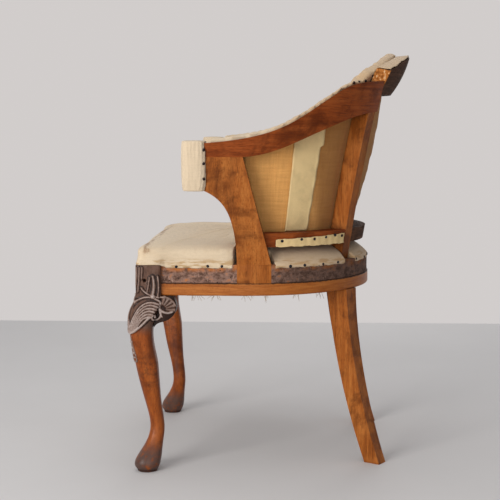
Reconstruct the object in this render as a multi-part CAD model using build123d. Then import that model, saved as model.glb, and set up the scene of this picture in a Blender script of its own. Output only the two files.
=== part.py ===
"""A walnut tub armchair stripped to its hessian: compass seat, carved cabriole front legs, sabre back legs.

Millimetres. +Z is up, the chair faces -Y, and left and right are the sitter's. The origin is on the floor
under the middle of the chair. The round back turns about one upright axis, and angles about it run
anticlockwise from +X, so 90 is the middle of the back.
"""
from build123d import *
import math
import os

# Seat frame
SEAT_RADIUS = 240.0
SEAT_AXIS_Y = -53.0
RAIL_BOTTOM = 337.0
RAIL_HEIGHT = 58.0
RAIL_THICK = 40.0
SHOW_BAND = 23.0
SHOW_PROUD = 2.0
RAIL_EDGE_ROUND = 3.0
SPLICE_ANGLE = 34.0
FRONT_Y = -258.0
FRONT_RAIL_INSET = 7.0
FRONT_BOW = 6.0
# Cabriole front legs
BLOCK = 48.0
BLOCK_PROUD = 8.0
KNEE_DROP = 52.0
KNEE_OUT = 12.0
CALF_OUT = 3.0
CALF_WIDE = 41.0
SHIN_SET = 13.0
SHIN_WIDE = 30.5
ANKLE_HEIGHT = 70.0
ANKLE_SET = 20.5
ANKLE_WIDE = 28.0
TOE_HEIGHT = 14.0
TOE_OUT = 6.0
FOOT_LONG = 48.0
FOOT_BASE_RADIUS = 19.0
FOOT_BASE_HEIGHT = 4.0
EAR_LONG = 28.0
EAR_DROP = 50.0
EAR_THICK = 30.0
EAR_PROUD = 6.0
EAR_ROOT = 14.0
TENON_LONG = 22.0
TENON_THICK = 14.0
TENON_TALL = 36.0
TENON_SET = 18.0
# Sabre back legs
LEG_ANGLE = 57.0
LEG_SET = 22.0
LEG_SWEEP = 79.0
LEG_TOP_DEEP = 44.0
LEG_FOOT_DEEP = 33.0
LEG_TOP_WIDE = 36.0
LEG_FOOT_WIDE = 25.0
LEG_TENON = (26.0, 16.0, 24.0)
# Tub back
FLARE_SET = 16.0
FLARE_ANGLE = 9.4
FLARE_BEND = 3800.0
FRAME_DEEP = 34.0
STILE_WIDE = 24.0
STILE_TENON = (18.0, 12.0, 22.0)
STUFF_RAIL_RISE = 32.0
STUFF_RAIL_TALL = 26.0
ARM_FRONT_Y = -150.0
ARM_RISE = 201.0
ARM_DEEP = 32.0
ARM_END_ANGLE = 61.5
SUPPORT_THICK = 28.0
SUPPORT_FRONT_Y = -69.0
SUPPORT_BACK_Y = -5.0
SUPPORT_HEAD_Y = -57.0
SUPPORT_NOSE_DROP = 56.0
SUPPORT_LAP = 14.0
CREST_RISE = 116.0
CREST_TALL = 76.0
CREST_END_DROP = 43.0
CREST_THICK = 26.0
CREST_BULGE = 5.0
CREST_ROUND = 4.0
CREST_LEAN = 26.0
DOWEL_RADIUS = 5.0
DOWEL_LONG = 44.0
SMALL_DOWEL_RADIUS = 4.0
SMALL_DOWEL_LONG = 30.0
JOINT_GAP = 0.1
# Corner blocks
CORNER_LEG = 58.0
CORNER_TALL = 34.0
CORNER_DROP = 12.0
SCREW_RADIUS = 2.4
SCREW_HEAD_RADIUS = 4.6
SCREW_LONG = 44.0
SCREW_HEAD_TALL = 3.0
# Upholstery
CLEAR = 0.3
CLOTH = 1.4
WEB_WIDE = 50.0
WEB_THICK = 1.6
WEB_GAP = 16.0
WEB_MARGIN = 12.0
WEB_SHIFT = 13.0
SPRING_WIRE = 3.4
SPRING_END_RADIUS = 36.0
SPRING_WAIST_RADIUS = 25.0
SPRING_TURNS = 4
SPRING_SPACING = 150.0
SPRING_AHEAD = 20.0
SPRING_SAMPLES = 24
SEAT_EDGE = 34.0
SEAT_CROWN = 14.0
SEAT_SETBACK = 1.0
SEAT_CORNER_ROUND = 26.0
BACK_PAD = 28.0
BACK_PAD_LIP = 7.0
BACK_PAD_RISE = 7.0
BACK_PAD_FRONT_Y = -118.0
LINING_SETBACK = 6.0
ARM_PAD_WRAP = 27.0
ARM_PAD_STUFF = 19.0
ARM_PAD_SIDE = 7.0
ARM_PAD_DROP = 63.0
ARM_PAD_RISE = 29.0
ARM_PAD_ROUND = 15.0
SIDE_WEB_ANGLE = 28.0
WRAP_TALL = 17.0

RAIL_TOP = RAIL_BOTTOM + RAIL_HEIGHT
BAND_TOP = RAIL_BOTTOM + SHOW_BAND
BLOCK_X = SEAT_RADIUS + BLOCK_PROUD
BLOCK_BACK_Y = FRONT_Y + BLOCK
FRONT_RAIL_Y = FRONT_Y + FRONT_RAIL_INSET
LEG_TOP_RADIUS = SEAT_RADIUS - LEG_SET
FLARE_FOOT = SEAT_RADIUS - FLARE_SET
STUFF_RAIL_BOTTOM = RAIL_TOP + STUFF_RAIL_RISE
STUFF_RAIL_TOP = STUFF_RAIL_BOTTOM + STUFF_RAIL_TALL
ARM_BOTTOM = RAIL_TOP + ARM_RISE
SUPPORT_NOSE_Z = ARM_BOTTOM - SUPPORT_NOSE_DROP
CREST_BOTTOM = ARM_BOTTOM + CREST_RISE
CREST_TOP = CREST_BOTTOM + CREST_TALL
CREST_END_TOP = CREST_TOP - CREST_END_DROP
BACK_PAD_BOTTOM = STUFF_RAIL_BOTTOM + BACK_PAD_RISE
ARM_PAD_BOTTOM = ARM_BOTTOM - ARM_PAD_DROP
FAR = 500.0
BACK_AXIS = Axis((0, SEAT_AXIS_Y, 0), (0, 0, 1))


def turned(angle):
    """The place on the back's axis, with X pointing out along the angle."""
    return Pos(0, SEAT_AXIS_Y, 0) * Rot(0, 0, angle)


def flare(z):
    """Outer radius of the tub back at a height."""
    lean = math.radians(FLARE_ANGLE)
    rise = z - RAIL_TOP + FLARE_BEND * math.sin(lean)
    return FLARE_FOOT + FLARE_BEND * math.cos(lean) - math.sqrt(FLARE_BEND ** 2 - rise ** 2)


def flare_edge(low, high, inset):
    """The tub's upright curve between two heights, as an edge in the XZ plane."""
    heights = (low, (low + high) / 2, high)
    return ThreePointArc(*[(flare(z) - inset, z) for z in heights])


def flare_face(low, high, outset, deep):
    """A wall section of the tub: from outset inside its outer curve, deep thick."""
    outer = flare_edge(low, high, outset)
    inner = flare_edge(low, high, outset + deep)
    ends = [Line(outer @ 0, inner @ 0), Line(outer @ 1, inner @ 1)]
    return Plane.XZ * make_face([outer, inner, *ends])


def ring(section, start, sweep):
    """Turns a section drawn in the XZ plane about the back's axis."""
    return revolve(turned(start) * section, BACK_AXIS, sweep)


def forward(section, front_y):
    """Runs a section at the back's axis straight forward to front_y, on the left side."""
    return extrude(Pos(0, SEAT_AXIS_Y, 0) * section, SEAT_AXIS_Y - front_y, dir=(0, -1, 0))


def side_cut(edges):
    """A closed outline in the YZ plane, run through the left half of the chair."""
    return extrude(Plane.YZ * make_face(edges), FAR, dir=(1, 0, 0))


def outline(points):
    return Polyline(*points, close=True)


def mirrored(part):
    return mirror(part, about=Plane.YZ)


def largest(part):
    return part.solids().sort_by(SortBy.VOLUME)[-1]


# Seat frame pieces

def rail_section():
    """The seat rail's section: a polished show band below, a set-back tacking band above."""
    inner, outer = SEAT_RADIUS - RAIL_THICK, SEAT_RADIUS
    points = [
        (inner, RAIL_BOTTOM), (outer, RAIL_BOTTOM), (outer, BAND_TOP),
        (outer - SHOW_PROUD, BAND_TOP), (outer - SHOW_PROUD, RAIL_TOP), (inner, RAIL_TOP),
    ]
    face = make_face(outline(points))
    corner = face.vertices().sort_by_distance((outer, RAIL_BOTTOM, 0))[0]
    return Plane.XZ * fillet(corner, RAIL_EDGE_ROUND)


def rail_tenon(gap):
    """The side rail's stub tenon in the left leg's block, or its mortise."""
    middle = (RAIL_BOTTOM + RAIL_TOP) / 2
    size = (TENON_THICK + 2 * gap, TENON_LONG + gap, TENON_TALL + 2 * gap)
    place = Pos(BLOCK_X - TENON_SET, BLOCK_BACK_Y, middle)
    return place * Box(*size, align=(Align.CENTER, Align.MAX, Align.CENTER))


def front_tenon(gap):
    """The front rail's stub tenon in the left leg's block, or its mortise."""
    middle = (RAIL_BOTTOM + RAIL_TOP) / 2
    size = (TENON_LONG + gap, TENON_THICK + 2 * gap, TENON_TALL + 2 * gap)
    place = Pos(BLOCK_X - BLOCK, FRONT_Y + TENON_SET, middle)
    return place * Box(*size, align=(Align.MIN, Align.CENTER, Align.CENTER))


def support_lap(gap):
    """The housing in the left side rail that takes the arm support's foot."""
    outer = SEAT_RADIUS - SHOW_PROUD
    section = Plane.XZ * make_face(outline([
        (outer - SUPPORT_LAP - gap, BAND_TOP), (outer, BAND_TOP), (outer, RAIL_TOP),
        (outer - SUPPORT_LAP - gap, RAIL_TOP),
    ]))
    band = ring(section, 0, SPLICE_ANGLE) + forward(section, BLOCK_BACK_Y)
    slot = side_cut(outline([
        (SUPPORT_FRONT_Y - gap, BAND_TOP - gap), (SUPPORT_BACK_Y + gap, BAND_TOP - gap),
        (SUPPORT_BACK_Y + gap, RAIL_TOP + gap), (SUPPORT_FRONT_Y - gap, RAIL_TOP + gap),
    ]))
    return band & slot


def splice_dowels(radius, long):
    """Two dowels across the left joint of the hoop."""
    rise = RAIL_HEIGHT / 4
    middle = (RAIL_BOTTOM + RAIL_TOP) / 2
    across = SEAT_RADIUS - RAIL_THICK / 2
    pin = Rot(90, 0, 0) * Cylinder(radius, long)
    return [turned(SPLICE_ANGLE) * Pos(across, 0, middle + side * rise) * pin for side in (-1, 1)]


def side_rail():
    rail = ring(rail_section(), 0, SPLICE_ANGLE) + forward(rail_section(), BLOCK_BACK_Y)
    rail = rail + rail_tenon(0) - support_lap(JOINT_GAP)
    for hole in splice_dowels(DOWEL_RADIUS + JOINT_GAP, DOWEL_LONG + 2 * JOINT_GAP):
        rail -= hole
    return rail


def leg_socket(angle, gap):
    """The sabre leg's stub tenon in the back rail's underside, or its mortise."""
    deep, wide, tall = LEG_TENON
    size = (deep + 2 * gap, wide + 2 * gap, tall + gap)
    place = turned(angle) * Pos(SEAT_RADIUS - RAIL_THICK / 2, 0, RAIL_BOTTOM)
    return place * Box(*size, align=(Align.CENTER, Align.CENTER, Align.MIN))


def stile_socket(angle, gap):
    """The stile's stub tenon in the back rail's top, or its mortise."""
    deep, wide, tall = STILE_TENON
    size = (deep + 2 * gap, wide + 2 * gap, tall + gap)
    place = turned(angle) * Pos(FLARE_FOOT - FRAME_DEEP / 2 + CLEAR + 4, 0, RAIL_TOP)
    return place * Box(*size, align=(Align.CENTER, Align.CENTER, Align.MAX))


def back_rail():
    rail = ring(rail_section(), SPLICE_ANGLE, 180 - 2 * SPLICE_ANGLE)
    for angle in (LEG_ANGLE, 180 - LEG_ANGLE):
        rail -= leg_socket(angle, JOINT_GAP)
        rail -= stile_socket(angle, JOINT_GAP)
    for hole in splice_dowels(DOWEL_RADIUS + JOINT_GAP, DOWEL_LONG + 2 * JOINT_GAP):
        rail = rail - hole - mirrored(hole)
    return rail


def front_rail():
    half = BLOCK_X - BLOCK
    back = FRONT_RAIL_Y + RAIL_THICK

    def bar(inset, low, high):
        face_y = FRONT_RAIL_Y + inset
        bow = ThreePointArc((-half, face_y), (0, face_y - FRONT_BOW), (half, face_y))
        rest = Polyline((half, face_y), (half, back), (-half, back), (-half, face_y))
        return extrude(Pos(0, 0, low) * make_face([bow, rest]), high - low)

    band = bar(0, RAIL_BOTTOM, BAND_TOP)
    low_edge = band.edges().filter_by(GeomType.CIRCLE).sort_by(Axis.Z)[0]
    rail = fillet(low_edge, RAIL_EDGE_ROUND) + bar(SHOW_PROUD, BAND_TOP, RAIL_TOP)
    return rail + front_tenon(0) + mirrored(front_tenon(0))


# Front legs

def leg_section(z, outer, inner, corner):
    """A rounded square across the left cabriole leg. Outer and inner count out from the block's faces."""
    middle = (outer + inner) / 2
    place = Pos(BLOCK_X + middle, FRONT_Y - middle, z)
    return place * RectangleRounded(outer - inner, outer - inner, corner)


def cabriole_leg():
    knee = RAIL_BOTTOM - KNEE_DROP
    calf = knee - (knee - ANKLE_HEIGHT) * 0.34
    shin = knee - (knee - ANKLE_HEIGHT) * 0.70
    instep = (ANKLE_HEIGHT + TOE_HEIGHT) / 2
    heel = TOE_OUT - FOOT_LONG
    ankle_back = -ANKLE_SET - ANKLE_WIDE
    stations = [
        (RAIL_BOTTOM, 0, -BLOCK, 6),
        (RAIL_BOTTOM - KNEE_DROP * 0.2, KNEE_OUT * 0.15, 1 - BLOCK, 8),
        (RAIL_BOTTOM - KNEE_DROP * 0.6, KNEE_OUT * 0.8, 8 - BLOCK, 11),
        (knee, KNEE_OUT, KNEE_OUT - BLOCK * 0.94, 13),
        (calf, CALF_OUT, CALF_OUT - CALF_WIDE, 13),
        (shin, -SHIN_SET, -SHIN_SET - SHIN_WIDE, 12.5),
        (ANKLE_HEIGHT, -ANKLE_SET, ankle_back, 12),
        (instep, (TOE_OUT - ANKLE_SET) * 0.55, (heel + ankle_back) / 2, 15),
        (TOE_HEIGHT, TOE_OUT, heel, 20),
        (FOOT_BASE_HEIGHT, TOE_OUT - 4, heel + 4, 19),
    ]
    shank = loft([leg_section(*station) for station in stations])
    middle = (TOE_OUT + heel) / 2
    base = Pos(BLOCK_X + middle, FRONT_Y - middle, 0) * Cylinder(
        FOOT_BASE_RADIUS, FOOT_BASE_HEIGHT, align=(Align.CENTER, Align.CENTER, Align.MIN))
    block = extrude(leg_section(RAIL_BOTTOM, 0, -BLOCK, 6), RAIL_HEIGHT)
    leg = shank + base + block
    return leg - rail_tenon(JOINT_GAP) - front_tenon(JOINT_GAP)


def ear_blank():
    """The scrolled knee bracket under the left side rail, before it is fitted to the leg."""
    root = BLOCK_BACK_Y - EAR_ROOT
    tip = BLOCK_BACK_Y + EAR_LONG
    turns = [(0.75, 0), (0.93, 0.2), (1, 0.46), (0.8, 0.74), (0.22, 0.96), (-0.1, 1.01)]
    points = [(BLOCK_BACK_Y + EAR_LONG * along, RAIL_BOTTOM - EAR_DROP * down) for along, down in turns]
    low = RAIL_BOTTOM - EAR_DROP * 1.2
    scroll = Spline(*points, (root, low))
    edges = [scroll, Polyline((root, low), (root, RAIL_BOTTOM), points[0])]
    block = side_cut(edges)
    outer = SEAT_RADIUS + EAR_PROUD
    taper = Polyline((outer, root), (outer, BLOCK_BACK_Y + 6), (SEAT_RADIUS - 2, tip + 2),
                     (outer - EAR_THICK, tip + 2), (outer - EAR_THICK, root), close=True)
    return block & extrude(Pos(0, 0, low) * make_face(taper), RAIL_BOTTOM - low)


def knee_ears(leg):
    """The side and front brackets of the left leg. They mirror each other across the knee's diagonal."""
    blank = ear_blank() - leg
    corner = Plane((BLOCK_X, FRONT_Y, 0), x_dir=(0, 0, 1), z_dir=(1, 1, 0))
    front = mirror(ear_blank(), about=corner) - leg - blank
    return [largest(blank), largest(front)]


# Back legs

def sabre_leg():
    steps = [0, 0.25, 0.5, 0.75, 1.0]
    sections = []
    for t in steps:
        out = LEG_TOP_RADIUS + LEG_SWEEP * (0.325 * t + 0.675 * t * t)
        ease = t ** 0.7
        deep = LEG_TOP_DEEP + (LEG_FOOT_DEEP - LEG_TOP_DEEP) * ease
        wide = LEG_TOP_WIDE + (LEG_FOOT_WIDE - LEG_TOP_WIDE) * ease
        place = turned(LEG_ANGLE) * Pos(out, 0, RAIL_BOTTOM * (1 - t))
        sections.append(place * Rectangle(deep, wide))
    return loft(sections) + leg_socket(LEG_ANGLE, 0)


# Tub back pieces

def arm_top_edge(lift):
    """The arm's upper line in the side view, swept up to the back."""
    points = [(ARM_FRONT_Y, ARM_BOTTOM + 24), (SUPPORT_HEAD_Y + 14, ARM_BOTTOM + 36), (20, ARM_BOTTOM + 56),
              (65, ARM_BOTTOM + 82), (111, ARM_BOTTOM + 113), (140, ARM_BOTTOM + 129), (178, ARM_BOTTOM + 138),
              (235, ARM_BOTTOM + 142)]
    return Spline(*[(y, z + lift) for y, z in points])


def arm_bottom_edge():
    """The arm's lower line in the side view: flat over the support, then swept up."""
    sweep = Spline((SUPPORT_HEAD_Y, ARM_BOTTOM), (20, ARM_BOTTOM + 18), (66, ARM_BOTTOM + 38),
                   (112, ARM_BOTTOM + 58), (153, ARM_BOTTOM + 74), (235, ARM_BOTTOM + 90),
                   tangents=((1, 0.05), (1, 0.2)))
    return [Line((ARM_FRONT_Y, ARM_BOTTOM), (SUPPORT_HEAD_Y, ARM_BOTTOM)), sweep]


def above_arm_bottom():
    """Everything over the arm's lower line."""
    flat, sweep = arm_bottom_edge()
    lid = Polyline(sweep @ 1, ((sweep @ 1).X, 2 * FAR), (ARM_FRONT_Y, 2 * FAR), flat @ 0)
    return side_cut([flat, sweep, lid])


def stile_head(gap):
    """The left stile's stub tenon in the arm's underside, or its mortise."""
    deep, wide, tall = STILE_TENON
    size = (deep + 2 * gap, wide + 2 * gap, 2 * tall + gap)
    z = ARM_BOTTOM + 76
    return turned(LEG_ANGLE) * Pos(flare(z) - FRAME_DEEP / 2, 0, z) * Box(*size)


def support_pegs(radius, long):
    """Two dowels between the left arm support and the arm."""
    x = flare(ARM_BOTTOM) - SUPPORT_THICK / 2
    spots = [ARM_FRONT_Y + 26, SUPPORT_HEAD_Y - 22]
    return [Pos(x, y, ARM_BOTTOM) * Cylinder(radius, long) for y in spots]


def crest_pegs(radius, long):
    """The dowel between the left arm's back end and the crest."""
    z = (CREST_BOTTOM + ARM_BOTTOM + 136) / 2
    pin = Rot(90, 0, 0) * Cylinder(radius, long)
    return [turned(ARM_END_ANGLE) * Pos(flare(z) - FRAME_DEEP / 2, 0, z) * pin]


def arm_rail():
    low, high = ARM_BOTTOM - 8, ARM_BOTTOM + 160
    wall = flare_face(low, high, 0, ARM_DEEP)
    shell = ring(wall, 0, ARM_END_ANGLE) + forward(wall, ARM_FRONT_Y)
    top = arm_top_edge(0)
    flat, sweep = arm_bottom_edge()
    band = side_cut([top, flat, sweep, Line(top @ 0, flat @ 0), Line(top @ 1, sweep @ 1)])
    rail = (shell & band) - stile_head(JOINT_GAP)
    for hole in support_pegs(SMALL_DOWEL_RADIUS + JOINT_GAP, SMALL_DOWEL_LONG + 2 * JOINT_GAP):
        rail -= hole
    for hole in crest_pegs(SMALL_DOWEL_RADIUS + JOINT_GAP, SMALL_DOWEL_LONG + 2 * JOINT_GAP):
        rail -= hole
    return rail


def support_back_edge():
    return Line((SUPPORT_BACK_Y, RAIL_TOP), (SUPPORT_HEAD_Y, ARM_BOTTOM))


def support_hollow(shift):
    """The arm support's hollow front edge in the side view, moved back by shift."""
    y = SUPPORT_FRONT_Y + shift
    return Spline((y, RAIL_TOP), (y - 10, RAIL_TOP + 81), (y - 28, RAIL_TOP + 116), (y - 54, SUPPORT_NOSE_Z - 9),
                  (ARM_FRONT_Y + shift, SUPPORT_NOSE_Z))


def arm_support():
    """The left arm's front post: a sawn board with a hollow front edge, lapped into the side rail."""
    outer_low, outer_high = SEAT_RADIUS - SHOW_PROUD, flare(ARM_BOTTOM)
    hollow = support_hollow(0)
    back = support_back_edge()
    board = side_cut([hollow, Polyline(hollow @ 1, (ARM_FRONT_Y, ARM_BOTTOM), back @ 1), back,
                      Line(back @ 0, hollow @ 0)])
    slab = Plane.XZ * make_face(outline([
        (outer_low - SUPPORT_THICK, RAIL_TOP), (outer_low, RAIL_TOP), (outer_high, ARM_BOTTOM),
        (outer_high - SUPPORT_THICK, ARM_BOTTOM),
    ]))
    post = board & extrude(slab, FAR, both=True)
    post += support_lap(0)
    for hole in support_pegs(SMALL_DOWEL_RADIUS + JOINT_GAP, SMALL_DOWEL_LONG + 2 * JOINT_GAP):
        post -= hole
    return post


def stile():
    """The left upright of the back, between the seat's back rail and the arm."""
    side = flare_face(RAIL_TOP, ARM_BOTTOM + 120, 0, FRAME_DEEP)
    post = extrude(turned(LEG_ANGLE) * side, STILE_WIDE / 2, both=True)
    return post - above_arm_bottom() + stile_head(0) + stile_socket(LEG_ANGLE, 0)


def stile_side(angle, away):
    """A block that starts at a stile's face and runs on past it, for trimming a rail's end."""
    near = Align.MIN if away > 0 else Align.MAX
    block = Box(FAR, FAR, FAR, align=(Align.MIN, near, Align.CENTER))
    return turned(angle) * Pos(0, -away * STILE_WIDE / 2, STUFF_RAIL_BOTTOM) * block


def stuff_section():
    return flare_face(STUFF_RAIL_BOTTOM, STUFF_RAIL_TOP, 0, FRAME_DEEP)


def side_stuff_pegs(radius, long):
    """The left stuffing rail's front dowel, and the one through the stile into the lower back rail."""
    z = (STUFF_RAIL_BOTTOM + STUFF_RAIL_TOP) / 2
    back = support_back_edge()
    y = (back @ ((z - RAIL_TOP) / (ARM_BOTTOM - RAIL_TOP))).X
    x = flare(z) - FRAME_DEEP / 3
    angle = math.degrees(math.asin((y - SEAT_AXIS_Y) / x))
    pin = Rot(90, 0, 0) * Cylinder(radius, long)
    at_post = Pos(x * math.cos(math.radians(angle)), y, z) * pin
    through = Rot(90, 0, 0) * Cylinder(radius, long + STILE_WIDE)
    at_stile = turned(LEG_ANGLE) * Pos(flare(z) - FRAME_DEEP / 2, 0, z) * through
    return [at_post, at_stile]


def side_stuff_rail():
    """The left lower rail of the tub, from the arm support back to the stile."""
    rail = ring(stuff_section(), 0, LEG_ANGLE) - stile_side(LEG_ANGLE, 1)
    back = support_back_edge()
    ahead = side_cut([back, Polyline(back @ 1, (-FAR, ARM_BOTTOM), (-FAR, RAIL_TOP), back @ 0)])
    rail -= ahead
    for hole in side_stuff_pegs(SMALL_DOWEL_RADIUS + JOINT_GAP, SMALL_DOWEL_LONG + 2 * JOINT_GAP):
        rail -= hole
    return rail


def lower_back_rail():
    rail = ring(stuff_section(), LEG_ANGLE, 180 - 2 * LEG_ANGLE)
    return rail - stile_side(LEG_ANGLE, -1) - stile_side(180 - LEG_ANGLE, 1)


def crest_rail():
    """The leaning top rail, arched in the front view."""
    foot = flare(CREST_BOTTOM) - FRAME_DEEP
    lean = math.tan(math.radians(CREST_LEAN)) * (CREST_TOP - CREST_BOTTOM)
    low_back, high_back = foot + CREST_THICK, foot + CREST_THICK + lean
    middle = ((low_back + high_back) / 2 + CREST_BULGE, (CREST_BOTTOM + CREST_TOP) / 2)
    back = ThreePointArc((low_back, CREST_BOTTOM), middle, (high_back, CREST_TOP))
    front = Polyline(back @ 1, (foot + lean, CREST_TOP), (foot, CREST_BOTTOM), back @ 0)
    section = make_face([back, front])
    high = section.vertices().group_by(Axis.Y)[-1]
    section = Plane.XZ * fillet(high, CREST_ROUND)
    slab = ring(section, ARM_END_ANGLE, 180 - 2 * ARM_END_ANGLE)
    half = (foot + lean) * math.cos(math.radians(ARM_END_ANGLE)) + CREST_THICK
    arch = ThreePointArc((-half, CREST_END_TOP), (0, CREST_TOP), (half, CREST_END_TOP))
    sides = Polyline(arch @ 1, (half, CREST_BOTTOM), (-half, CREST_BOTTOM), arch @ 0)
    rail = slab & extrude(Plane.XZ * make_face([arch, sides]), FAR, both=True)
    for hole in crest_pegs(SMALL_DOWEL_RADIUS + JOINT_GAP, SMALL_DOWEL_LONG + 2 * JOINT_GAP):
        rail = rail - hole - mirrored(hole)
    return rail


# Corner blocks and screws

def corner_block(leg):
    """The glued and screwed triangle inside the left front corner of the seat frame."""
    x, y = SEAT_RADIUS - RAIL_THICK, FRONT_RAIL_Y + RAIL_THICK
    top = RAIL_TOP - CORNER_DROP
    face = make_face(outline([(x, y), (x, y + CORNER_LEG), (x - CORNER_LEG, y)]))
    block = extrude(Pos(0, 0, top - CORNER_TALL) * face, CORNER_TALL) - leg
    for screw in corner_screws(JOINT_GAP):
        block -= screw
    return block


def corner_screws(gap):
    """Two screws through the left corner block, one into each rail."""
    x, y = SEAT_RADIUS - RAIL_THICK, FRONT_RAIL_Y + RAIL_THICK
    z = RAIL_TOP - CORNER_DROP - CORNER_TALL / 2
    shank = Cylinder(SCREW_RADIUS + gap, SCREW_LONG + gap, align=(Align.CENTER, Align.CENTER, Align.MIN))
    head = Cone(SCREW_RADIUS + gap, SCREW_HEAD_RADIUS + gap, SCREW_HEAD_TALL,
                align=(Align.CENTER, Align.CENTER, Align.MAX))
    screw = shank + Rot(180, 0, 0) * head
    run = CORNER_LEG * 0.34
    into_side = Pos(x - (CORNER_LEG - run) + SCREW_HEAD_TALL + 1, y + run, z) * Rot(0, 90, 0) * screw
    into_front = Pos(x - run, y + (CORNER_LEG - run) - SCREW_HEAD_TALL - 1, z) * Rot(90, 0, 0) * screw
    return [into_side, into_front]


# Upholstery

def seat_outline(inset, z):
    """The compass seat's outline, drawn in from the rails' tacking band, with a rounded front."""
    radius = SEAT_RADIUS - SHOW_PROUD - inset
    front = FRONT_RAIL_Y + SHOW_PROUD + inset
    corner = SEAT_CORNER_ROUND
    slant = corner * (1 - math.sqrt(0.5))
    middle = SEAT_AXIS_Y
    right_back = ThreePointArc((-radius, middle), (-radius * math.sqrt(0.5), middle + radius * math.sqrt(0.5)),
                               (0, middle + radius))
    left_back = ThreePointArc((0, middle + radius), (radius * math.sqrt(0.5), middle + radius * math.sqrt(0.5)),
                              (radius, middle))
    left_side = Line((radius, middle), (radius, front + corner))
    left_turn = ThreePointArc((radius, front + corner), (radius - slant, front + slant), (radius - corner, front))
    nose = ThreePointArc((radius - corner, front), (0, front - FRONT_BOW), (corner - radius, front))
    right_turn = ThreePointArc((corner - radius, front), (slant - radius, front + slant), (-radius, front + corner))
    right_side = Line((-radius, front + corner), (-radius, middle))
    edges = [right_back, left_back, left_side, left_turn, nose, right_turn, right_side]
    return Pos(0, 0, z) * make_face(edges)


def seat_pad(posts):
    """The stuffed and calico-covered seat: full at the edge, crowned, cut round the arm supports and stiles."""
    low = RAIL_TOP + CLOTH + 2 * CLEAR
    edge = low + SEAT_EDGE
    sections = [
        seat_outline(SEAT_SETBACK, low), seat_outline(SEAT_SETBACK - 0.5, low + SEAT_EDGE * 0.45),
        seat_outline(SEAT_SETBACK + 6, low + SEAT_EDGE * 0.86), seat_outline(SEAT_SETBACK + 22, edge + 4),
        seat_outline(SEAT_SETBACK + 70, edge + SEAT_CROWN * 0.72),
        seat_outline(SEAT_SETBACK + 130, edge + SEAT_CROWN),
    ]
    pad = loft(sections, ruled=True)
    inner = flare(STUFF_RAIL_BOTTOM) - FRAME_DEEP - BACK_PAD - 8
    under = Plane.XZ * make_face(outline([
        (inner, STUFF_RAIL_BOTTOM - 3), (SEAT_RADIUS + 20, STUFF_RAIL_BOTTOM - 12),
        (SEAT_RADIUS + 20, ARM_BOTTOM), (inner, ARM_BOTTOM),
    ]))
    room = forward(under, SUPPORT_FRONT_Y + 2)
    pad = pad - ring(under, 0, 180) - room - mirrored(room)
    for post in posts:
        pad -= post
    return largest(pad)


def post_room():
    """Clear room in the seat for the left arm support and stile."""
    outer = SEAT_RADIUS + 12
    wide = SUPPORT_BACK_Y - SUPPORT_FRONT_Y + 4 * CLEAR + 2
    inner = SEAT_RADIUS - SHOW_PROUD - SUPPORT_THICK - CLEAR
    room = Box(outer - inner, wide, FAR, align=(Align.MIN,) * 3)
    slot = Pos(inner, SUPPORT_FRONT_Y - 2 * CLEAR - 2, RAIL_BOTTOM) * room
    hollow = Pos(inner, SUPPORT_FRONT_Y - 10, RAIL_TOP + 34) * room
    deep = FRAME_DEEP + 6 + 2 * CLEAR
    notch = turned(LEG_ANGLE) * Pos(FLARE_FOOT - FRAME_DEEP / 2 + 3, 0, RAIL_BOTTOM) * Box(
        deep, STILE_WIDE + 2 * CLEAR, FAR, align=(Align.CENTER, Align.CENTER, Align.MIN))
    return [slot, hollow, notch]


def spring_hessian(posts):
    sheet = extrude(seat_outline(8, RAIL_TOP + CLEAR), CLOTH)
    for post in posts:
        sheet -= post
    return largest(sheet)


def strap_row(count):
    pitch = WEB_WIDE + WEB_GAP
    return [(i - (count - 1) / 2) * pitch for i in range(count)]


def webbing_lengthwise():
    """Straps from front to back under the rails, the lower layer."""
    z = RAIL_BOTTOM - CLEAR - 2 * WEB_THICK
    near = LEG_TOP_RADIUS - LEG_TOP_DEEP / 2
    along, across = math.cos(math.radians(LEG_ANGLE)), math.sin(math.radians(LEG_ANGLE))
    leg_x = near * along - LEG_TOP_WIDE / 2 * across
    leg_y = SEAT_AXIS_Y + near * across - LEG_TOP_WIDE / 2 * along
    straps = []
    for x in strap_row(5):
        reach = SEAT_RADIUS - WEB_MARGIN
        edge = abs(x) + WEB_WIDE / 2
        back = SEAT_AXIS_Y + math.sqrt(reach ** 2 - edge ** 2)
        if edge > leg_x:
            back = min(back, leg_y - CLEAR)
        front = FRONT_RAIL_Y + WEB_MARGIN
        size = (WEB_WIDE, back - front, WEB_THICK - CLEAR)
        straps.append(Pos(x, front, z) * Box(*size, align=(Align.CENTER, Align.MIN, Align.MIN)))
    return straps


def webbing_crosswise():
    """Straps from side to side under the rails, the upper layer."""
    z = RAIL_BOTTOM - CLEAR - WEB_THICK
    straps = []
    for y in [SEAT_AXIS_Y + WEB_SHIFT + step for step in strap_row(4)]:
        reach = SEAT_RADIUS - WEB_MARGIN
        far_y = max(0, y + WEB_WIDE / 2 - SEAT_AXIS_Y)
        half = math.sqrt(reach ** 2 - far_y ** 2)
        size = (2 * half, WEB_WIDE, WEB_THICK)
        straps.append(Pos(0, y, z) * Box(*size, align=(Align.CENTER, Align.CENTER, Align.MIN)))
    return straps


def spring_point(turn, tall):
    """A point and tangent on the hourglass coil."""
    def place(t):
        share = t / SPRING_TURNS
        belly = (2 * share - 1) ** 2
        radius = SPRING_WAIST_RADIUS + (SPRING_END_RADIUS - SPRING_WAIST_RADIUS) * belly
        angle = 2 * math.pi * t
        return Vector(radius * math.cos(angle), radius * math.sin(angle), tall * share)

    step = 1e-4
    return place(turn), (place(turn + step) - place(turn - step)).normalized()


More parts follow.
